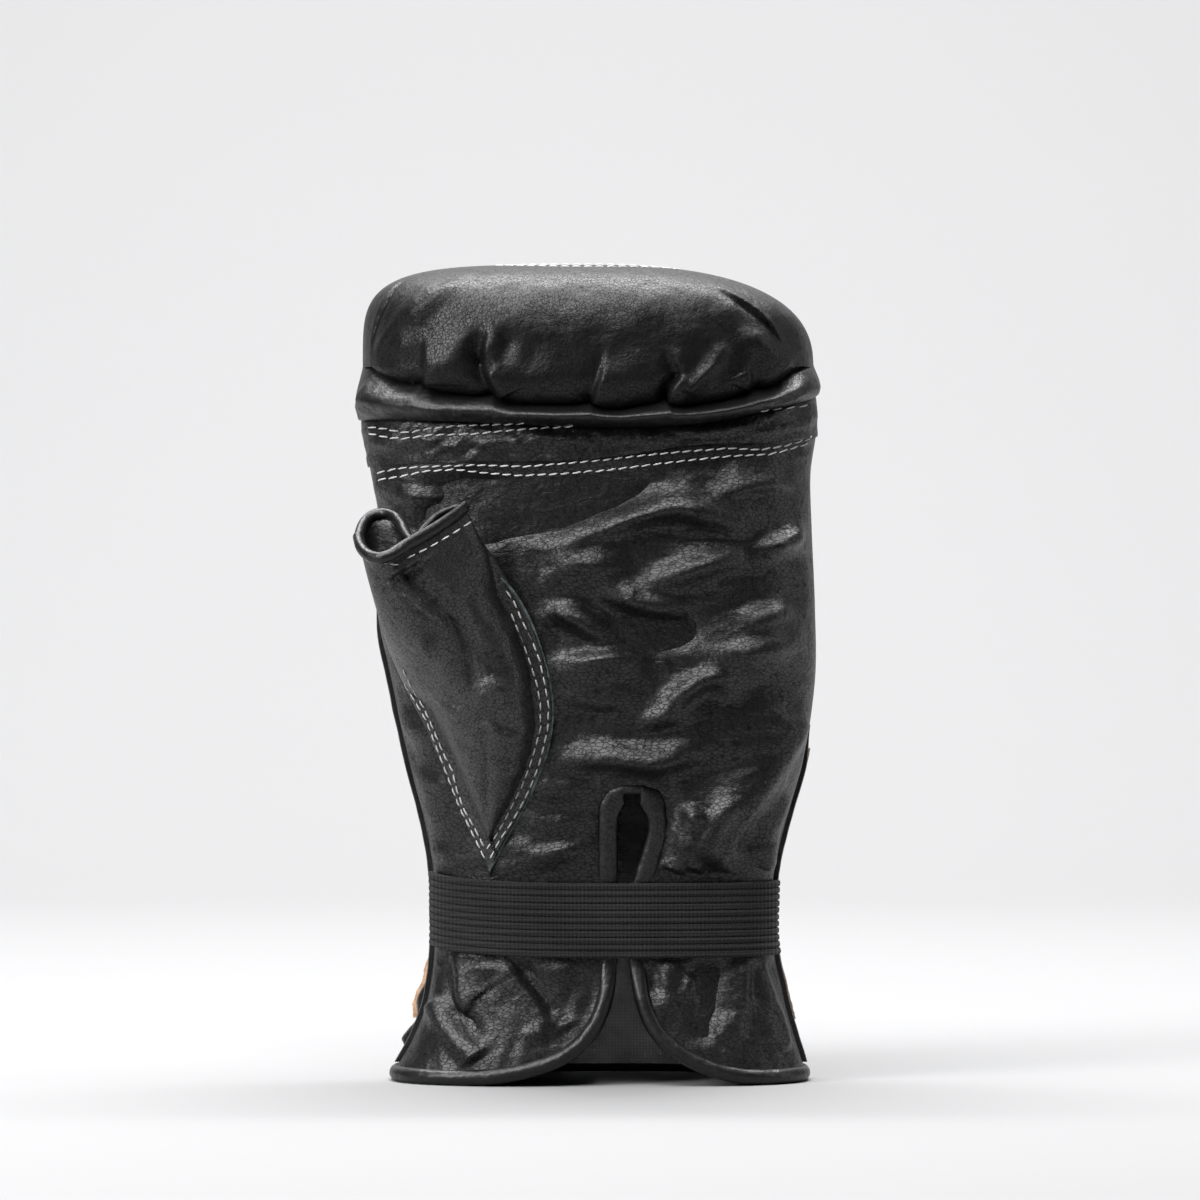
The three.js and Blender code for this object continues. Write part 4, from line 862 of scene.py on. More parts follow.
COLLAR_BULGE = 7.3
COLLAR_TUCK = 1.8


def strip(bottom, top, rows, columns, out):
    """A closed strip of the palm side between two seams."""
    up, share = grid(rows, columns)
    across = 2 * share - 1
    z = mix(bottom(across), top(across), up)
    outer = skin(across, z, -1, out(across, z, up))
    inner = skin(across[FEW], z[FEW], -1, -LEATHER + 0 * z[FEW])
    return wall(outer, inner)


def band_out(across, z, up):
    x = skin_x(across, z)
    calm = off_sides(across, 0.02, 0.12) * np.sin(np.pi * np.clip(up, 0, 1)) ** 0.5
    creased = waves(BAND_WAVES, x, z) + 0.4 * (wrinkles(x, z, 5.0, 3.0, 37, 0.5) - 0.4)
    bulge = FINGER_BAND_BULGE * np.sin(np.pi * up) * arch(spread(across), PALM_ROUNDNESS)
    lap = LAP_RISE * (1 - smooth(up, 0.0, 0.3)) - LAP_RISE * smooth(up, 0.85, 1.0)
    lap *= off_sides(across, 0.0, 0.06)
    return bulge + lap + (relief(BAND_FOLDS, x, z) + creased) * calm


def collar_out(across, z, up):
    x = skin_x(across, z)
    calm = off_sides(across, 0.02, 0.1)
    puckers = 0.9 * (wrinkles(x, z, 4.0, 6.0, 41) - 0.4) * (1 - smooth(up, 0.12, 0.4))
    bulge = COLLAR_BULGE * np.sin(np.pi * up**0.7) - COLLAR_TUCK * up**2
    lap = LAP_RISE * (1 - up) * off_sides(across, 0.0, 0.06)
    calm = calm * np.sin(np.pi * np.clip(up + 0.15, 0, 1))
    folded = (relief(COLLAR_FOLDS, x, z) + puckers) * calm
    return bulge * arch(spread(across), PALM_ROUNDNESS) + lap + folded


# The roll's lip. Columns: x, z. Where z steps, one gathered part hangs over the next
LIP = np.array([
    (-70.4, 222.5), (-66.9, 222), (-64.8, 220.1), (-61.8, 218.3), (-57.2, 216.8), (-53.5, 216.2),
    (-50.4, 216.4), (-49.8, 215.2), (-45, 213.7), (-38.9, 212.8), (-32.8, 212.2), (-27.8, 212.2),
    (-26.9, 211.4), (-23.6, 210.1), (-17.5, 209.5), (-9.9, 209.5), (-3.8, 209.8), (1.0, 210.4),
    (1.8, 209.4), (5.3, 208.2), (9.9, 207.9), (16, 209.2), (20.6, 210.1), (24.2, 211.2),
    (24.8, 209.6), (28.2, 208.8), (34.3, 209.5), (40.4, 210.7), (46.5, 212.5), (49.8, 214.3),
    (54.1, 214.6), (57.2, 215.9), (60.2, 218), (62.8, 220.4), (66, 222), (71, 222.5),
])


LIP_MIDDLE = 214.0
COLLAR_UNDER_LIP = 2.0
COLLAR_LEAST = 3.0


def lip_height(x):
    return np.interp(x, LIP[:, 0], LIP[:, 1])


def collar_top(across):
    x = skin_x(across, LIP_MIDDLE + 0 * across)
    return np.maximum(lip_height(x) + COLLAR_UNDER_LIP, collar_seam(across) + COLLAR_LEAST)


add_piece("band_skin", strip(lambda a: band_seam(a) - LAP, lambda a: collar_seam(a) + LAP,
                             30, 270, band_out), band_leather, ["finger_band"])
add_piece("collar_skin", strip(lambda a: collar_seam(a) - LAP, collar_top, 30, 270, collar_out),
          smooth_leather, ["finger_collar"])

# Finger roll and back pad

ROLL_FOLD_HEIGHT = 1.25
ROLL_WAVE_HEIGHT = 0.7
INNER_LIP_DROP = 12.5
CREST_SEAM_MIDDLE = 0.95
CREST_SEAM_BACK = 0.55
PAD_WAVE_HEIGHT = 0.8
PAD_WRINKLE_HEIGHT = 0.5
PAD_EDGE_SINK = 0.5
ROLL_STEP = np.array([0, -0.25, 0.25])
ROLL_FOLDS = [
    (((-50.6, 216), (-50.3, 220), (-50.6, 226), (-49.5, 231)), -1.4, 2.0, 3.5, 5.0, 0.01, 0.6),
    (((-27.6, 211), (-29.8, 216), (-31.5, 219), (-32.6, 224), (-31.5, 229.5), (-29.6, 233)),
     -2.6, 2.2, 3.2, 4.5, 0.01, 0.35),
    (((-28.5, 219), (-31.8, 222), (-32, 227)), -2.2, -2.2, 1.6, 1.6),
    (((1.2, 210), (3.6, 217), (5.5, 224), (6, 228)), -0.9, 1.4, 3.0, 5.0, 0.01, 0.6),
    (((24.3, 210), (24.6, 213), (26.5, 216), (29.4, 219.5)), -3.0, 1.4, 2.2, 4.0, 0.01, 0.25),
    (((29, 219), (27, 222), (23.2, 225)), -1.3, 1.3, 2.5, 2.5),
    (((30.6, 212), (37, 219), (41, 223), (44.6, 229)), 1.9, 1.0, 2.2, 1.6, 0.1, 0.3),
    (((49.8, 213.6), (50.8, 216), (50.2, 220.7), (47.5, 223)), 1.3, -1.5, 4.0, 2.6, 0.01, 0.6),
    (((62, 220.5), (57, 225.5), (51, 229.4), (45, 233)), 1.9, 1.9, 2.5, 3.0, 0.05, 0.4),
    (((-69, 222), (-58, 236), (-51, 243), (-44, 248)), 1.3, 1.3, 2.0, 2.4, 0.1, 0.2),
    (((-60, 225), (-56, 234.5), (-49.3, 240.5), (-42, 246), (-38, 248)), 1.5, 1.5, 1.6, 2.6, 0.1, 0.2),
    (((-64, 224), (-58, 231), (-51, 238)), -1.2, -1.2, 1.8, 1.8),
    (((-22.5, 233), (-25, 226), (-24.5, 221.6)), -1.3, -1.3, 2.4, 2.4),
    (((-12, 230), (-18, 223.5), (-17, 216)), -0.9, -0.9, 3.4, 3.0),
    (((-36, 233), (-42, 226), (-44, 217)), 0.8, 0.8, 3.4, 3.4),
    (((12, 228), (14, 220), (13, 211)), 0.6, 0.6, 4.0, 4.0),
]

# The seam between the front of the roll and its side pieces, seen from the front
SIDE_SEAMS = [
    (((-66.8, 222), (-67, 228), (-65.6, 236), (-63, 241.5), (-59, 247.6), (-54, 250.5)),
     0.9, -1.4, 1.0, 1.4),
    (((62.9, 222), (59, 230), (54.5, 236.6), (47.5, 241.3), (42.5, 244.2), (34, 247.5)),
     -1.6, 1.1, 1.6, 1.2),
]


def shell(x, way, lip, inner):
    """The padded shell's outer (inner 0) or inner (1) face. way runs from the lip (-1) over the
    front corner line (0), the crest (1) and the back corner line (2) to the pad's end (3)."""
    front_way = np.clip(-way, 0, 1)
    turn = np.where(way > 1, 2 - way, way).clip(0, 1) * np.pi / 2
    cos, sin = np.cos(turn) ** (2 / CREST_ROUNDNESS), np.sin(turn) ** (2 / CREST_ROUNDNESS)
    palm_arch, back_arch = arch(x, PALM_ROUNDNESS), arch(x, BACK_ROUNDNESS)
    crown_arch = np.where(x < 0, arch(x, LEFT_CORNER_ROUNDNESS), arch(x, RIGHT_CORNER_ROUNDNESS))
    size = CORNER_SIZE
    crown = (CREST_HEIGHT - CORNER_HEIGHT - inner * CREST_PAD) * crown_arch
    front = (size["palm"] + ROLL_PROUD - inner * ROLL_WALL) * palm_arch
    back = (size["back"] - inner * KNUCKLE_PAD) * back_arch
    tuck = (1 - inner) * ROLL_TUCK * palm_arch * (1 - np.cos(front_way * np.pi / 2))
    px = size["middle"] + (size["half"] - inner * SIDE_PAD) * x
    y = np.where(way > 1, GAP / 2 + back * cos, GAP / 2 - front * cos)
    z = CORNER_HEIGHT + crown * sin
    y = np.where(way < 0, GAP / 2 - front + tuck, y)
    z = np.where(way < 0, CORNER_HEIGHT - (CORNER_HEIGHT - lip) * np.sin(front_way * np.pi / 2), z)

    down = np.clip(way - 2, 0, 1)
    low_z = mix(CORNER_HEIGHT, PAD_BOTTOM + GAP / 2, down)
    low = body_at(low_z)
    thin = smooth(down, 0.35, 1.0)
    low_depth = (low["back"] - inner * mix(KNUCKLE_PAD, PAD_END, thin)) * back_arch
    low_x = low["middle"] + (low["half"] - inner * mix(SIDE_PAD, PAD_END / 2, thin)) * x
    return stack(np.where(way > 2, low_x, px), np.where(way > 2, GAP / 2 + low_depth, y),
                 np.where(way > 2, low_z, z))


def crest_seam(across):
    """Where the roll meets the pad, as a way along the shell."""
    return CREST_SEAM_MIDDLE + CREST_SEAM_BACK * spread(across) ** 2


def outward(points, centre):
    """Unit directions away from a middle line, for pushing folds in and out."""
    away = points - centre
    return away / np.maximum(np.linalg.norm(away, axis=-1, keepdims=True), 1e-6)


def finger_roll():
    up, share = grid(120, 300)
    across = 2 * share - 1
    x = spread(across)
    front_x = CORNER_SIZE["middle"] + CORNER_SIZE["half"] * x
    lip = lip_height(front_x)
    way = mix(-1, crest_seam(across), up)
    outer = shell(x, way, lip, 0)
    seen_x, seen_z = outer[..., 0], outer[..., 2]
    inwards = outward(stack(seen_x, 0 * x, CORNER_HEIGHT + 0 * x), outer)
    sides = off_sides(across, 0.0, 0.05)
    gathers = ROLL_FOLD_HEIGHT * relief(ROLL_FOLDS, seen_x, seen_z, 0.7, 1.25)
    push = gathers * smooth(1.0 - way, 0.02, 0.3)
    push += relief(SIDE_SEAMS, seen_x, seen_z, 0.4) * smooth(1.0 - way, -0.05, 0.1)
    push += ROLL_WAVE_HEIGHT * noise(seen_x / 12, seen_z / 10, 51) * (1 - smooth(way, 0.2, 0.7))
    outer = outer - inwards * (push * sides)[..., None]
    inner_lip = CORNER_HEIGHT - INNER_LIP_DROP * (1 - np.abs(x) ** 2.2)
    inner = shell(x[FEW], way[FEW], np.maximum(lip, inner_lip)[FEW], 1)
    return wall(outer + ROLL_STEP, inner + ROLL_STEP)


def back_pad():
    down, share = grid(150, 210)
    across = 2 * share - 1
    x = spread(across)
    way = mix(crest_seam(across), 2.0, np.minimum(1, 3 * down)) + np.maximum(0, 1.5 * down - 0.5)
    outer = shell(x, way, CORNER_HEIGHT, 0)
    crest = crest_seam(across)
    edge = np.minimum(smooth(way, crest, crest + 0.12), smooth(3 - way, 0, 0.04))
    seen_x, level = outer[..., 0], outer[..., 2]
    soft = PAD_WAVE_HEIGHT * noise(seen_x / 30, level / 24, 61)
    soft = soft + PAD_WRINKLE_HEIGHT * (wrinkles(seen_x, level, 14, 6, 63) - 0.5)
    puff = PAD_EDGE_SINK * (edge - 1) + soft * edge * off_sides(across, 0.0, 0.1)
    out = outward(outer, stack(0.3 * seen_x, 0 * x, np.minimum(level, CORNER_HEIGHT)))
    outer = outer + out * puff[..., None]
    return wall(outer, shell(x[FEW], way[FEW], CORNER_HEIGHT, 1))


roll = add_piece("roll_skin", finger_roll(), roll_leather, ["finger_roll"])
pad = add_piece("back_pad_skin", back_pad(), roll_leather, ["back_pad"])

# Back of the cuff

CUFF_BOTTOM = 5.1
CUFF_TOP = PAD_BOTTOM - GAP / 2
CUFF_FLUTES = 7
FLUTE_HEIGHT = 0.9
FLUTES_FADE = (17.0, 45.0)
HEM_CALM = 10.0
LEFT_PUFF = 4.0
PUFF_PITCH = 12.5
PUFF_RISE = (7.0, 13.0)
PUFF_FADE = (30.0, 42.0)
PUFF_PLACE = 0.09
PATCH_FACE = 2.1
PATCH_HEIGHTS = (18.6, 103.5)
PATCH_SPAN = (-0.87, 0.94)
PATCH_SWAY = 0.03
LINING_FACE = -2.1
LINING_THICKNESS = 1.2
LINING_BOTTOM = 2.2
LINING_REACH = 0.8125
LINING_RIB = 0.25


def cuff_relief(across, z):
    x = skin_x(across, z, 1)
    low = 1 - smooth(z, *FLUTES_FADE)
    hem = smooth(z - CUFF_BOTTOM, 0.0, HEM_CALM)
    inside = off_sides(across, 0.03, 0.16)
    sway = 0.9 * noise(across * 5, z / 12, 71)
    flutes = FLUTE_HEIGHT * (1 + np.sin(across * CUFF_FLUTES * np.pi + sway))
    puffs = LEFT_PUFF * (0.75 + 0.25 * np.cos(z * 2 * np.pi / PUFF_PITCH))
    puffs = puffs * smooth(z, *PUFF_RISE) * (1 - smooth(z, *PUFF_FADE))
    ridge = np.exp(-(((1 + across) / PUFF_PLACE - 1) ** 2))
    left_puff = puffs * ridge * smooth(1 + across, 0.0, 0.04)
    creased = 1.2 * (wrinkles(x, z, 6.0, 7.0, 73) - 0.4) * low
    creased = creased + 0.5 * (wrinkles(x, z, 9.0, 3.0, 75) - 0.5)
    return (flutes * low + creased) * hem * inside + left_puff


def cuff_sheet(face, thickness, z_span, across_span, rows, columns, out, sway=0.0):
    up, share = grid(rows, columns)
    z = mix(z_span[0], z_span[1], up)
    across = mix(across_span[0] + sway * noise(z / 9, 0 * z, 77), across_span[1], share)
    outer = skin(across, z, 1, face + out(across, z))
    inner = skin(across[FEW], z[FEW], 1, face - thickness + out(across[FEW], z[FEW]))
    return wall(outer, inner)


def lining_relief(across, z):
    return LINING_RIB * np.sin(z * 1.6)


cuff = cuff_sheet(0.0, LEATHER, (CUFF_BOTTOM - 1, CUFF_TOP), (-1, 1), 120, 210, cuff_relief)
patch = cuff_sheet(PATCH_FACE, LEATHER, PATCH_HEIGHTS, PATCH_SPAN, 99, 180, cuff_relief, PATCH_SWAY)
lining = cuff_sheet(LINING_FACE, LINING_THICKNESS, (LINING_BOTTOM, CUFF_TOP),
                    (-LINING_REACH, LINING_REACH), 60, 90, lining_relief)
add_piece("cuff_skin", cuff, flap_leather, ["back_cuff"])
add_piece("wrist_patch_skin", patch, smooth_leather, ["wrist_patch"], cut=tan_raw)
add_piece("lining_skin", lining, lining_knit_painted_light, ["cuff_lining"])


# Bindings

def along_of(path, looped=False):
    before, after = np.roll(path, 1, axis=0), np.roll(path, -1, axis=0)
    if not looped:
        before[0], after[-1] = path[0], path[-1]
    along = after - before
    return along / np.linalg.norm(along, axis=-1, keepdims=True)


def binding(path, outwards, half_thickness, half_width, sides=14, looped=False):
    """A rolled binding along a path, with its two half sizes along the path."""
    along = along_of(path, looped)
    outwards = outwards - along * np.einsum("ij,ij->i", outwards, along)[:, None]
    outwards = outwards / np.linalg.norm(outwards, axis=-1, keepdims=True)
    sideways = np.cross(outwards, along)
    turn = (np.arange(sides) * 2 * np.pi / sides)[None, :, None]
    thick = np.broadcast_to(half_thickness, len(path))[:, None, None]
    wide = np.broadcast_to(half_width, len(path))[:, None, None]
    out = outwards[:, None] * thick * np.cos(turn)
    aside = sideways[:, None] * wide * np.sin(turn)
    return tube(path[:, None] + out + aside, looped)


PIPING_TAIL = 11.0
PIPING_PRESSED = 0.45


def leather_path(across, z, side):
    """Points in the middle of the leather, and the directions out of it."""
    return skin(across, z, side, -LEATHER / 2 + 0 * z), skin_normal(across, z, side)


def edge_path(z, column):
    return leather_path(across_at(edge_x(z, column), z), z, -1)


def foot_path(first, last, count, side):
    """Along the foot of the cuff, the two ends left out on the palm's side."""
    across = np.linspace(first, last, count)
    across = across if side > 0 else across[1:-1]
    return leather_path(across, np.full(len(across), PIPING_FOOT), side)


def hem_piping():
    """From under the elastic down the left flap, round the back and up the right flap."""
    top = ELASTIC_BOTTOM + PIPING_TAIL
    rise = PIPING_FOOT + (top - PIPING_FOOT) * np.linspace(1, 0, 90) ** 1.7
    left = edge_path(rise, 1)
    right = edge_path(rise[::-1], 2)
    foot = np.array(PIPING_FOOT)
    foot_left = float(across_at(left[0][-1, 0], foot))
    foot_right = float(across_at(right[0][0, 0], foot))
    stretches = [
        left, foot_path(foot_left, -1, 24, -1), foot_path(-1, 1, 140, 1),
        foot_path(1, foot_right, 24, -1), right,
    ]
    path = np.concatenate([points for points, _ in stretches])
    out = np.concatenate([normals for _, normals in stretches])
    under_elastic = smooth(path[:, 2], ELASTIC_BOTTOM - 14, ELASTIC_BOTTOM - 1)
    thick = PIPING_RADIUS * mix(1, PIPING_PRESSED, under_elastic)
    return binding(path, out, thick, PIPING_RADIUS - 0.1, 16)


# Half thickness under the elastic and above it, half width below the swell and above it
VENT_STRIP_THICK = (1.15, 1.7)
VENT_STRIP_WIDE = (3.05, 3.7)
VENT_SWELL = (83.0, 87.0)
VENT_TIP = 89.0
VENT_TIP_WIDE = 1.7


def vent_binding():
    """Flat folded strips up both sides of the vent, meeting in a notch at its top."""
    t = np.linspace(0, 1, 121)
    line = []
    top = VENT_TOP - 1
    for share in t:
        side = 1 if share < 0.5 else 2
        up = 1 - abs(2 * share - 1)
        z = WAIST_HEIGHT + (top - WAIST_HEIGHT) * (1 - (1 - up) ** 2)
        line.append((float(edge_x(np.array(z), side)), z))
    x, z = np.array(line).T
    path, out = leather_path(across_at(x, z), z, -1)
    elastic_top = ELASTIC_BOTTOM + ELASTIC_WIDTH
    above_elastic = smooth(z, elastic_top - 1, elastic_top + 5)
    thick = mix(*VENT_STRIP_THICK, above_elastic) + 0.08 * np.sin(t * 260)
    wide = mix(*VENT_STRIP_WIDE, smooth(z, *VENT_SWELL))
    wide = mix(wide, VENT_TIP_WIDE, smooth(z, VENT_TIP, top))
    return binding(path, out, thick, wide, 16)


add_piece("hem_piping_skin", hem_piping(), piping_leather, ["hem_piping"])
add_piece("vent_strip", vent_binding(), smooth_leather, ["vent_binding"])


ELASTIC_SPAN = (-0.9, 0.955)
ELASTIC_THICKNESS = 1.6
RIB_DEPTH = 0.65
RIB_ROUNDNESS = 0.27


def elastic_band():
    up, share = grid(ELASTIC_RIBS * 8, 150)
    across = mix(*ELASTIC_SPAN, share)
    x = skin_x(across, WAIST_HEIGHT + 0 * across)
    z = elastic_bottom(across) + up * ELASTIC_WIDTH
    rib = np.abs(np.sin(up * ELASTIC_RIBS * np.pi)) ** RIB_ROUNDNESS
    gather = 0.18 * noise(x / 9, z / 14, 81)
    outer = skin(across, z, -1, ELASTIC_FACE - RIB_DEPTH * (1 - rib) + gather)
    few = FEW_OF_ELASTIC
    inner = skin(across[few], z[few], -1, ELASTIC_FACE - ELASTIC_THICKNESS + 0 * z[few])
    return wall(outer, inner)


add_piece("elastic_skin", elastic_band(), elastic_knit, ["elastic_band"])


# Side strips over the seams

WELT_BOTTOM = 5.6
LEFT_WELT_TOP = 149.0
RIGHT_WELT_TOP = 111.0
WELT_HALF = 2.4
WELT_PROUD = 1.6


def side_strip(side, top):
    z = np.linspace(WELT_BOTTOM, top, 140)
    seam = plain_skin(side + 0 * z, z, 1)
    sway = 0.35 * noise(z / 9, 0 * z, 91)
    taper = smooth(top - z, 0.0, 14.0)
    half = (WELT_HALF + 0.2 * noise(z / 14, 0 * z, 93)) * mix(0.5, 1.0, taper)
    proud = mix(0.3, WELT_PROUD + 0.3 * noise(z / 7, 0 * z, 95), taper)
    near, far = seam[:, 0] - side * 1.2, seam[:, 0] + side * proud
    bevel = far - side * 0.25
    corners = [
        (near, -half), (bevel, -half * 0.95), (far, -half * 0.55),
        (far, half * 0.55), (bevel, half * 0.95), (near, half),
    ]
    return tube(np.stack([stack(px, py + sway, z) for px, py in corners], axis=1))


for name, node_name, side, top in (("left_strip", "left_welt", -1, LEFT_WELT_TOP),
                                   ("right_strip", "right_welt", 1, RIGHT_WELT_TOP)):
    add_piece(name, side_strip(side, top), smooth_leather, [node_name], crisp=35)

# Thumb sleeve

THUMB_UP = np.array([-math.sin(THUMB_LEAN), math.cos(THUMB_LEAN)])
THUMB_SIDE = np.array([math.cos(THUMB_LEAN), math.sin(THUMB_LEAN)])
THUMB_BULGE = 17.0
MOUTH_FRONT_Y = -52.5
MOUTH_TILT = 0.62
MOUTH_FROM = 0.72
MOUTH_LEFT = np.array([-69.4, 167.6])
MOUTH_RIGHT = np.array([-36.6, 177.0])

# The mouth's rim. Columns: share from its left end to its right one, how far the front rim and
# the back rim lie behind the line between those ends
MOUTH_ROWS = np.array([
    (0.0, 0.0, 0.0),
    (0.03, -5.4, 5.6),
    (0.1, -10.4, 9.0),
    (0.2, -13.6, 9.2),
    (0.3, -14.0, 7.0),
    (0.38, -12.6, 2.4),
    (0.46, -11.0, -6.0),
    (0.53, -9.8, -8.6),
    (0.62, -8.4, -4.0),
    (0.73, -6.6, 0.2),
    (0.82, -4.7, 1.4),
    (0.92, -2.4, 1.6),
    (1.0, 0.0, 0.0),
])

THUMB_FOLDS = [
    (((-60, 158), (-56, 150), (-50, 143), (-44, 137)), 1.0, 1.0, 4.5, 4.5),
    (((-47, 160), (-43, 154), (-39, 149)), 0.9, 0.9, 4.0, 4.0),
    (((-32.4, 117), (-31, 108), (-30.6, 98), (-31, 90), (-31.2, 82), (-31, 75)),
     -0.9, -0.9, 1.0, 1.0, 0.05, 0.05),
    (((-46, 150.5), (-40, 154.5), (-35, 153.5)), -1.3, 1.2, 2.4, 3.0, 0.05, 0.3),
    (((-31.6, 128), (-26, 124), (-21, 124)), -0.8, 0.8, 3.2, 3.2, 0.3, 0.4),
    (((-32, 114), (-26, 109.5), (-18, 108.5)), -1.3, 1.2, 2.4, 2.6, 0.1, 0.3),
    (((-50, 118), (-42, 117.6), (-34, 116)), -1.2, 1.2, 2.2, 2.2),
    (((-53, 119), (-48, 128), (-46, 138), (-44, 146)), -1.4, -1.4, 2.6, 2.6),
    (((-60, 150), (-57, 140), (-54, 130)), 1.2, 1.2, 3.5, 3.5),
    (((-30, 100), (-24, 97), (-19, 99)), -0.9, 0.9, 2.2, 2.2),
    (((-44, 108), (-38, 104), (-33, 104)), -0.9, 0.9, 2.2, 2.2),
    (((-40, 96), (-35, 92), (-32, 92)), -0.7, 0.7, 1.8, 1.8),
]
THUMB_CREASES = [
    (((-55.6, 164), (-53, 158), (-50, 154), (-46, 149.6), (-41.5, 146), (-38.4, 139.6), (-35.2, 131.8),
      (-33.6, 125.7), (-32, 116.5)), -5.5, -6.5, 5.2, 3.6, 0.02, 0.6),
]
FLANGE = 1.5
LEFT_FLANGE_WIDTH = 4.5
RIGHT_FLANGE_WIDTH = 6.0
SLEEVE_WALL = 1.3
SLEEVE_BACK_GAP = 0.9
SLEEVE_BACK_BULGE = 7.0
THUMB_FOLD_HEIGHT = 1.1
THUMB_WAVE_HEIGHT = 0.9
SLEEVE_ROWS = 150
SLEEVE_HALF = 48


def sleeve_ring(up, share):
    """Points of the sleeve seen from the front: up its length, and share from left to right."""
    left = -THUMB_LEFT_REACH * follow(THUMB_ROWS, 1, up)
    right = THUMB_RIGHT_REACH * follow(THUMB_ROWS, 2, up)
    w = mix(left, right, share)
    x = THUMB_POINT[0] + THUMB_UP[0] * up * THUMB_LENGTH + THUMB_SIDE[0] * w
    z = THUMB_POINT[1] + THUMB_UP[1] * up * THUMB_LENGTH + THUMB_SIDE[1] * w
    at_mouth = smooth(up, MOUTH_FROM, 1.0)
    x = mix(x, mix(MOUTH_LEFT[0], MOUTH_RIGHT[0], share), at_mouth)
    z = mix(z, mix(MOUTH_LEFT[1], MOUTH_RIGHT[1], share), at_mouth)
    return x, z, w - left, right - w, at_mouth


def palm_face(x, z):
    across = np.clip(across_at(x, z), -0.97, 0.97)
    return plain_skin(across, z, -1)[..., 1]


def loose(up, share):
    """0 where the sleeve is sewn to the palm, 1 where it stands free of it."""
    return mix(smooth(up, 0.55, 0.85), smooth(up, 0.76, 0.99), smooth(share, 0.25, 0.95))


def sleeve_front(up, share):
    x, z, from_left, from_right, at_mouth = sleeve_ring(up, share)
    free = loose(up, share)
    on_palm = palm_face(x, z)
    flange_left = LEFT_FLANGE_WIDTH * (1 - smooth(up, 0.5, 0.62))
    flange_right = RIGHT_FLANGE_WIDTH * (1 - smooth(up, 0.74, 0.86))
    width = from_left + from_right
    span = np.maximum(width - flange_left - flange_right, 0.5)
    s = np.clip((from_left - flange_left) / span, 0, 1) * 2 - 1
    bulge = THUMB_BULGE * follow(THUMB_ROWS, 3, up) * arch(s, 2.1)
    flat = FLANGE * smooth(np.minimum(from_left, from_right), 0.0, 0.5) * (1 - free)
    lobes = THUMB_FOLD_HEIGHT * relief(THUMB_FOLDS, x, z, 1.6, 1.4) * arch(2 * share - 1, 3.0)
    lobes += THUMB_WAVE_HEIGHT * noise(x / 12, (z + x) / 9, 101) * smooth(up, 0.03, 0.15)
    lobes *= (1 - 0.85 * smooth(up, 0.93, 1.0))
    rest = mix(on_palm, MOUTH_FRONT_Y, free)
    y = rest - np.maximum(bulge, flat) - lobes * np.clip(bulge / 3, 0, 1)
    mouth = follow(MOUTH_ROWS, 1, share)
    y = mix(y, MOUTH_FRONT_Y + mouth, at_mouth)
    crease = relief(THUMB_CREASES, x, z, 1.0) * (1 - smooth(up, 0.93, 0.99))
    y = y - crease * arch(2 * share - 1, 3.0)
    return stack(x, y, z + MOUTH_TILT * at_mouth * mouth)


def sleeve_back(up, share):
    x, z, _, _, at_mouth = sleeve_ring(up, share)
    hidden = palm_face(x, z) + SLEEVE_BACK_GAP
    open_back = MOUTH_FRONT_Y + SLEEVE_BACK_BULGE * arch(2 * share - 1, 2.2)
    y = mix(hidden, np.minimum(open_back, hidden), loose(up, share))
    mouth = follow(MOUTH_ROWS, 2, share)
    y = mix(y, MOUTH_FRONT_Y + mouth, at_mouth)
    return stack(x, y, z + MOUTH_TILT * at_mouth * mouth)


def thumb_sleeve():
    """An open tube: an outer skin and an inner one, joined round the mouth and at the point."""
    up = np.linspace(0, 1, SLEEVE_ROWS + 1)[:, None]
    turn = np.linspace(0, np.pi, SLEEVE_HALF + 1)
    share = (1 - np.cos(turn)) / 2
    front = sleeve_front(up, share[None, :])
    back = sleeve_back(up, share[None, ::-1])
    outer = np.concatenate([front, back[:, 1:-1]], axis=1)
    centre = outer.mean(axis=1, keepdims=True)
    inwards = outward(centre, outer)
    room = np.linalg.norm(centre - outer, axis=-1, keepdims=True)
    inner = outer + inwards * np.minimum(SLEEVE_WALL, 0.6 * room)
    return tube(np.concatenate([outer, inner[::-1]]), looped=True)


# How far the rim stands over the mouth behind and in front, its half width and how much narrower
# it is behind where it is folded, and its half thickness in the loop and in the folded strip
RIM_LIFT = (1.2, 1.7)
RIM_WIDE = 1.9
RIM_FOLDED_LESS = 0.75
RIM_THICK = (1.75, 1.15)


def mouth_rim():
    """The rolled binding round the mouth: a round loop at the left, a folded strip at the right."""
    turn = np.linspace(0, np.pi, 91)
    share = (1 - np.cos(turn)) / 2
    top = np.ones((1, 1))
    front = sleeve_front(top, share[None, :])[0]
    back = sleeve_back(top, share[None, ::-1])[0]
    path = np.concatenate([front, back[1:-1]])
    shares = np.concatenate([share, share[::-1][1:-1]])
    is_front = np.concatenate([np.ones(len(front)), np.zeros(len(back) - 2)])
    up = np.array([THUMB_UP[0], -0.25, THUMB_UP[1]])
    lift = mix(*RIM_LIFT, is_front)
    path = path + up[None, :] * lift[:, None]
    along = along_of(path, True)
    outwards = np.cross(along, up[None, :])
    wide = RIM_WIDE - RIM_FOLDED_LESS * (1 - is_front) * smooth(shares, 0.4, 0.5)
    thick = mix(*RIM_THICK, smooth(shares, 0.4, 0.55))
    return binding(path, outwards, thick, wide, looped=True)


add_piece("thumb_skin", thumb_sleeve(), thumb_leather, ["thumb_sleeve"], crisp=70)
add_piece("thumb_rim", mouth_rim(), piping_leather, ["thumb_binding"])

# Stitches

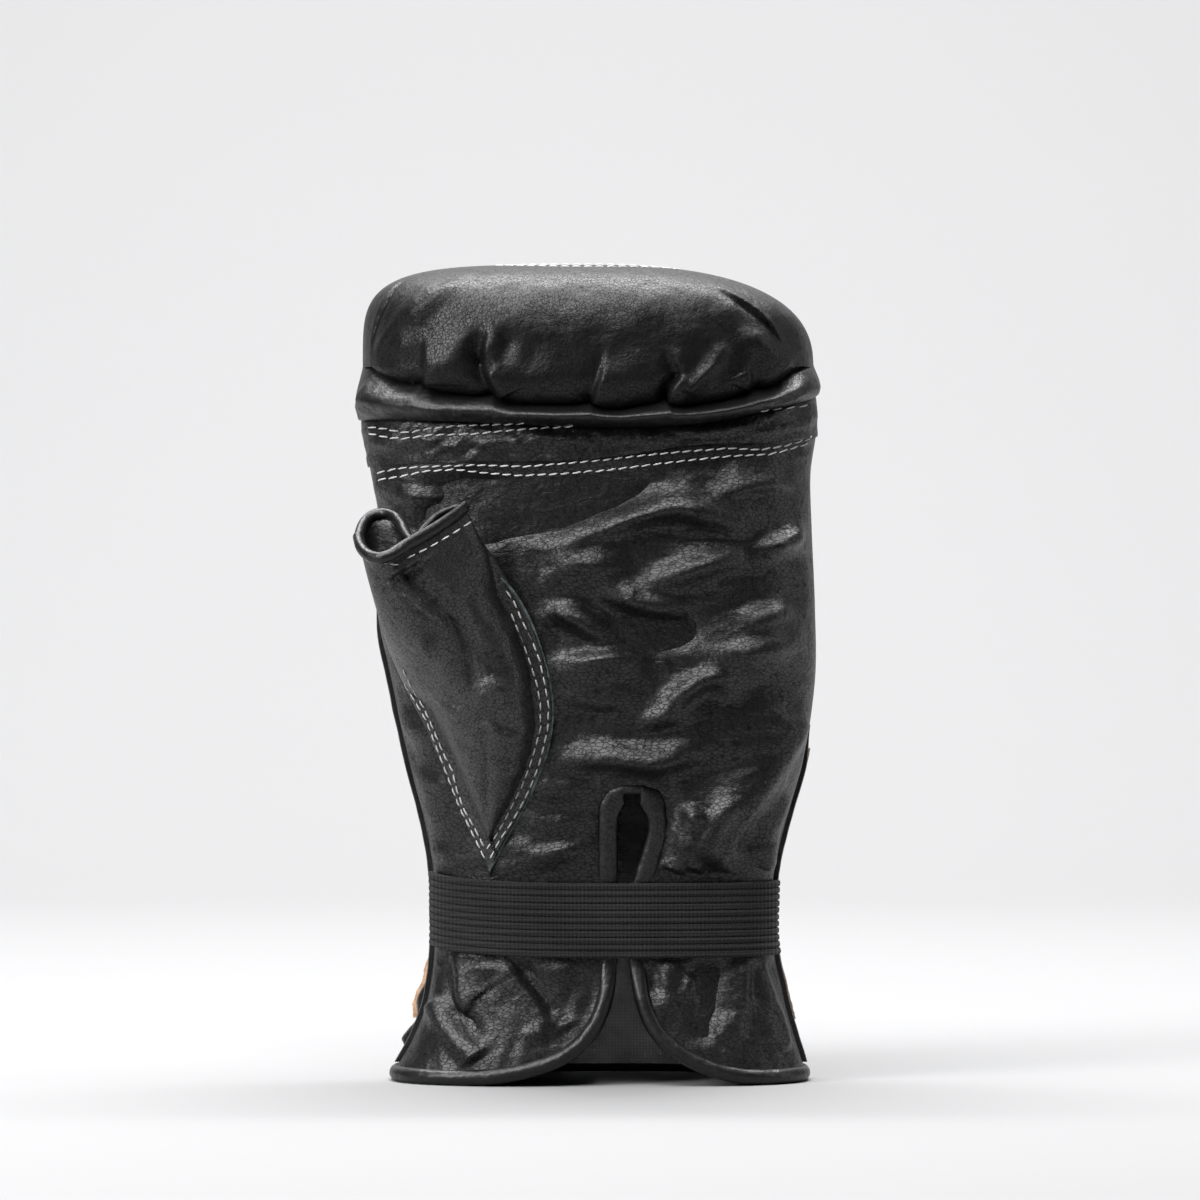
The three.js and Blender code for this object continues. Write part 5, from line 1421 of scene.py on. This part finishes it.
STITCH_PITCH = 3.5
STITCH_LENGTH = 2.7
THUMB_STITCH_LENGTH = 2.5
STITCH_RADIUS = 0.27
STITCH_STEPS = (0.0, 0.12, 0.35, 0.65, 0.88, 1.0)
STITCH_SAG = 0.05
CREST_SAG = 0.15
FRONT_Y = -200.0


def capsule(start, end, radius, normal, sag):
    """One stitch: a short thick thread that lies sag deep and whose ends dip into the leather."""
    rings = []
    along = (end - start) / np.linalg.norm(end - start)
    sideways = np.cross(along, normal)
    turn = np.arange(6) * np.pi / 3
    for t in STITCH_STEPS:
        rise = radius * 0.9 * math.sin(math.pi * t) ** 0.5 - sag
        thick = radius * (0.35 + 0.65 * math.sin(math.pi * min(max(t, 0.02), 0.98)) ** 0.5)
        middle = start + (end - start) * t + normal * rise
        rings.append([middle + thick * (math.cos(a) * normal + math.sin(a) * sideways) for a in turn])
    return tube(np.array(rings))


def even(points, pitch):
    """Places a pitch apart along a line of points, and the line's direction at each."""
    points = np.array(points, float)
    steps = np.linalg.norm(points[1:] - points[:-1], axis=1)
    reached = np.concatenate([[0], np.cumsum(steps)])
    count = max(1, int(reached[-1] / pitch))
    at = (np.arange(count) + 0.5) * reached[-1] / count

    def places(at):
        return np.stack([np.interp(at, reached, column) for column in points.T], axis=1)

    way = places(at + 0.3) - places(at - 0.3)
    return places(at), way / np.linalg.norm(way, axis=1, keepdims=True)


def behind(tree, x, z):
    """Where a line from the front, straight along the view, meets the surface."""
    hit, normal, _, _ = tree.ray_cast(Vector((x, FRONT_Y, z)), Vector((0, 1, 0)))
    return hit, normal


def seen_stitches(tree, rows, slant=0.0, length=STITCH_LENGTH):
    """Stitches along lines drawn in front of the glove, laid on the surface behind them."""
    parts = []
    cos, sin = math.cos(slant), math.sin(slant)
    for row in rows:
        for (x, z), (dx, dz) in zip(*even(row, STITCH_PITCH)):
            dx, dz = dx * cos - dz * sin, dz * cos + dx * sin
            ends = []
            for sign in (-0.5, 0.5):
                hit, normal = behind(tree, x + sign * dx * length, z + sign * dz * length)
                if hit is not None:
                    ends.append((np.array(hit), np.array(normal)))
            if len(ends) < 2 or np.linalg.norm(ends[1][0] - ends[0][0]) >= 4 * length:
                continue
            normal = ends[0][1] + ends[1][1]
            normal = normal / np.linalg.norm(normal)
            if normal[1] > 0:
                normal = -normal
            parts.append(capsule(ends[0][0], ends[1][0], STITCH_RADIUS, normal, STITCH_SAG))
    return parts


FINGER_ROWS = [
    ((-68.6, 203.7), (-62, 202.7), (-58, 201.8), (-54.5, 201.5), (-50, 202.4), (-40.7, 203.4),
     (-26.9, 203.7), (-19, 204)),
    ((-68.4, 201.8), (-61.5, 200), (-56.6, 199.7), (-47.7, 200.6), (-34.5, 200.9), (-25.3, 201.8),
     (-11.5, 202.8), (-4, 203.2)),
    ((52.3, 208), (60.5, 209), (68.8, 210.4)),
    ((-65.8, 189.3), (-58, 190.6), (-50, 191), (-34.5, 191.4), (-19.2, 190.9), (-5.4, 192), (3.8, 192.8),
     (16, 194.2), (28.3, 195.4), (43.7, 196.6), (52.9, 196.2), (60.5, 197.5), (68.2, 200), (70, 201)),
    ((-65.5, 187.1), (-58, 188), (-49.9, 189.6), (-40.7, 190.1), (-31.5, 189), (-20.7, 188.2),
     (-8.5, 188.7), (3.8, 189.6), (19.1, 191.4), (31.4, 192.9), (43.7, 194.2), (55.9, 194.8),
     (60.5, 196), (68.8, 198.8)),
]
THUMB_STITCH_ROWS = [
    ((-23.6, 146.3), (-21.7, 141.6), (-19.3, 135.4), (-17.4, 130), (-15.5, 123.8), (-14.5, 117.6),
     (-14.5, 110.6), (-15.9, 105.2), (-17.8, 99), (-20.2, 92.8), (-23.3, 86.6), (-25.6, 82),
     (-28.7, 76.6), (-31.4, 72.7)),
    ((-25.2, 153.2), (-22.5, 149.4), (-20.2, 143.9), (-17.1, 137.7), (-14.7, 131.5), (-13.2, 124.6),
     (-12, 117.6), (-12.3, 110.6), (-13.6, 104.5), (-15.1, 99), (-17.8, 92), (-20.5, 86.6),
     (-23.6, 81.2), (-27.2, 75.8), (-30.4, 69.8)),
    ((-56.9, 129.2), (-54.2, 123), (-51.1, 117.6), (-48.8, 113), (-46.5, 107.5), (-44.2, 102.1),
     (-41.8, 97.5), (-40.3, 91.3), (-38, 85.1), (-34.9, 79.7), (-31.8, 73.5)),
    ((-56.9, 124.6), (-52.7, 117.6), (-49.9, 113), (-48.1, 108.4), (-45.7, 102.1), (-43.9, 97.5),
     (-41.8, 92), (-39.5, 86), (-36.4, 79.7), (-31.6, 69.8)),
]
MOUTH_STITCH_ROWS = [
    ((-67.4, 161.9), (-62, 161.2), (-56.6, 160.6)),
    ((-55.1, 162.4), (-48, 166), (-41, 170.2), (-35, 174.2)),
]

# The cut edge of the sleeve's right side, seen from the front
RAW_EDGE = [
    (-27, 157), (-22.8, 153), (-18, 145), (-15, 137), (-12, 127), (-10.4, 116), (-11.8, 105.5),
    (-14.2, 98), (-18, 89), (-22, 82), (-26, 75), (-29, 69), (-30.6, 66),
]
RAW_EDGE_HALF = 0.35
RAW_EDGE_WIDTH = 0.45

# The crest's stitch rows: their reach across from the middle, and the way from the seam to each,
# less than 0 in front of it
CREST_ROW_REACH = 0.27
CREST_ROWS = (-0.2, -0.05)


def on_surface(tree, point):
    hit, normal, _, _ = tree.find_nearest(Vector(point))
    return np.array(hit), np.array(normal)


def crest_stitches():
    """Two rows in front of the seam over the finger ends."""
    tree = surface_of("roll_skin", "back_pad_skin")
    across = np.linspace(-CREST_ROW_REACH, CREST_ROW_REACH, 300)
    parts = []
    for beside_seam in CREST_ROWS:
        row = shell(spread(across), crest_seam(across) + beside_seam, CORNER_HEIGHT, 0)
        for place, way in zip(*even(row, STITCH_PITCH)):
            start, first = on_surface(tree, place - way * STITCH_LENGTH / 2)
            end, last = on_surface(tree, place + way * STITCH_LENGTH / 2)
            normal = (first + last) * np.sign((first + last)[2])
            normal = normal / np.linalg.norm(normal)
            parts.append(capsule(start, end, STITCH_RADIUS, normal, CREST_SAG))
    return parts


def raw_strip(tree):
    """A thin cut edge laid where the sleeve's right side meets the palm."""
    places, _ = even(rounded(RAW_EDGE, 3), 1.0)
    path = np.array([np.array(behind(tree, x, z)[0]) for x, z in places])
    depth = np.convolve(np.pad(path[:, 1], 3, mode="edge"), np.ones(7) / 7, mode="valid")
    path[:, 1] = np.minimum(depth, path[:, 1]) - 0.1
    outwards = np.tile([0.0, -1.0, 0.0], (len(path), 1))
    thick = RAW_EDGE_HALF + 0.1 * np.sin(places[:, 1] * 1.3)
    return binding(path, outwards, thick, RAW_EDGE_WIDTH, 8)


FRONT_PIECES = ("palm_skin", "band_skin", "collar_skin", "roll_skin", "thumb_skin", "elastic_skin")
glove_front = surface_of(*FRONT_PIECES)
finger_rows = seen_stitches(glove_front, FINGER_ROWS, slant=0.12)
thumb_rows = seen_stitches(surface_of("thumb_skin"), THUMB_STITCH_ROWS + MOUTH_STITCH_ROWS,
                           length=THUMB_STITCH_LENGTH)
add_piece("finger_stitches", joined(finger_rows), white_thread)
add_piece("thumb_stitches", joined(thumb_rows), white_thread)
add_piece("crest_stitches", joined(crest_stitches()), white_thread)
add_piece("thumb_raw_edge", raw_strip(glove_front), green_raw)


# Room, light and camera

FLOOR_FRONT = -0.43
FLOOR_BACK = 1.2
FLOOR_BEND = 0.9
FLOOR_HALF = 4.0
BACKDROP_TOP = 4.0
PAPER = (0.25, 0.25, 0.253)
AIR = (0.86, 0.87, 0.9, 1)
AIR_STRENGTH = 0.02

# Columns: name, place, what it points at, width, height, power
LIGHTS = [
    ("top_softbox", (0.0, 0.2, 1.25), (0, 0, 0.15), 1.5, 1.0, 30),
    ("front_softbox", (-0.25, -0.82, 1.48), (0, 0, 0.12), 1.4, 0.8, 36),
    ("left_softbox", (-1.1, -0.9, 0.75), (0, 0, 0.12), 0.5, 0.9, 25),
    ("right_softbox", (1.3, 0.0, 0.55), (0, 0, 0.12), 0.5, 1.0, 3),
    ("backdrop_light", (0.0, 0.9, 2.3), (0, 2.1, 0.9), 2.6, 0.6, 161),
]
CAMERA_DISTANCE = 2.0
CAMERA_SIDE = 0.0038
CAMERA_HEIGHT = 0.15
CAMERA_LENS = 191.7


def area_light(name, place, target, width, height, power):
    light = bpy.data.lights.new(name, "AREA")
    light.shape = "RECTANGLE"
    light.size = width
    light.size_y = height
    light.energy = power
    lamp = bpy.data.objects.new(name, light)
    lamp.location = place
    lamp.rotation_mode = "QUATERNION"
    lamp.rotation_quaternion = (Vector(target) - Vector(place)).to_track_quat("-Z", "Y")
    bpy.context.scene.collection.objects.link(lamp)


def sweep():
    """A pale floor that curves up into a backdrop."""
    profile = [(FLOOR_FRONT, 0.0), (FLOOR_BACK, 0.0)]
    for k in range(1, 13):
        turn = k / 12 * math.pi / 2
        profile.append((FLOOR_BACK + FLOOR_BEND * math.sin(turn), FLOOR_BEND * (1 - math.cos(turn))))
    profile.append((FLOOR_BACK + FLOOR_BEND, BACKDROP_TOP))
    points = [(x, y, z) for y, z in profile for x in (-FLOOR_HALF, FLOOR_HALF)]
    faces = [(2 * k, 2 * k + 1, 2 * k + 3, 2 * k + 2) for k in range(len(profile) - 1)]
    mesh = bpy.data.meshes.new("studio_floor")
    mesh.from_pydata(points, [], faces)
    mesh.shade_smooth()
    material, _, _ = new_material("studio_paper", PAPER, 0.85, specular=0.0)
    mesh.materials.append(material)
    floor = bpy.data.objects.new("studio_floor", mesh)
    bpy.context.scene.collection.objects.link(floor)


def studio():
    scene = bpy.context.scene
    scene.view_settings.view_transform = "Standard"
    world = bpy.data.worlds.new("studio_air")
    world.use_nodes = True
    air = world.node_tree.nodes["Background"]
    air.inputs["Color"].default_value = AIR
    air.inputs["Strength"].default_value = AIR_STRENGTH
    scene.world = world
    for light in LIGHTS:
        area_light(*light)


def camera():
    data = bpy.data.cameras.new("camera")
    data.sensor_width = 36
    data.lens = CAMERA_LENS
    data.clip_end = 50
    view = bpy.data.objects.new("camera", data)
    glove_x, glove_y = OFFSET[:2] / 1000
    view.location = (CAMERA_SIDE + glove_x, glove_y - CAMERA_DISTANCE, CAMERA_HEIGHT)
    view.rotation_euler = (math.radians(90), 0, 0)
    bpy.context.scene.collection.objects.link(view)
    bpy.context.scene.camera = view


sweep()
studio()
camera()
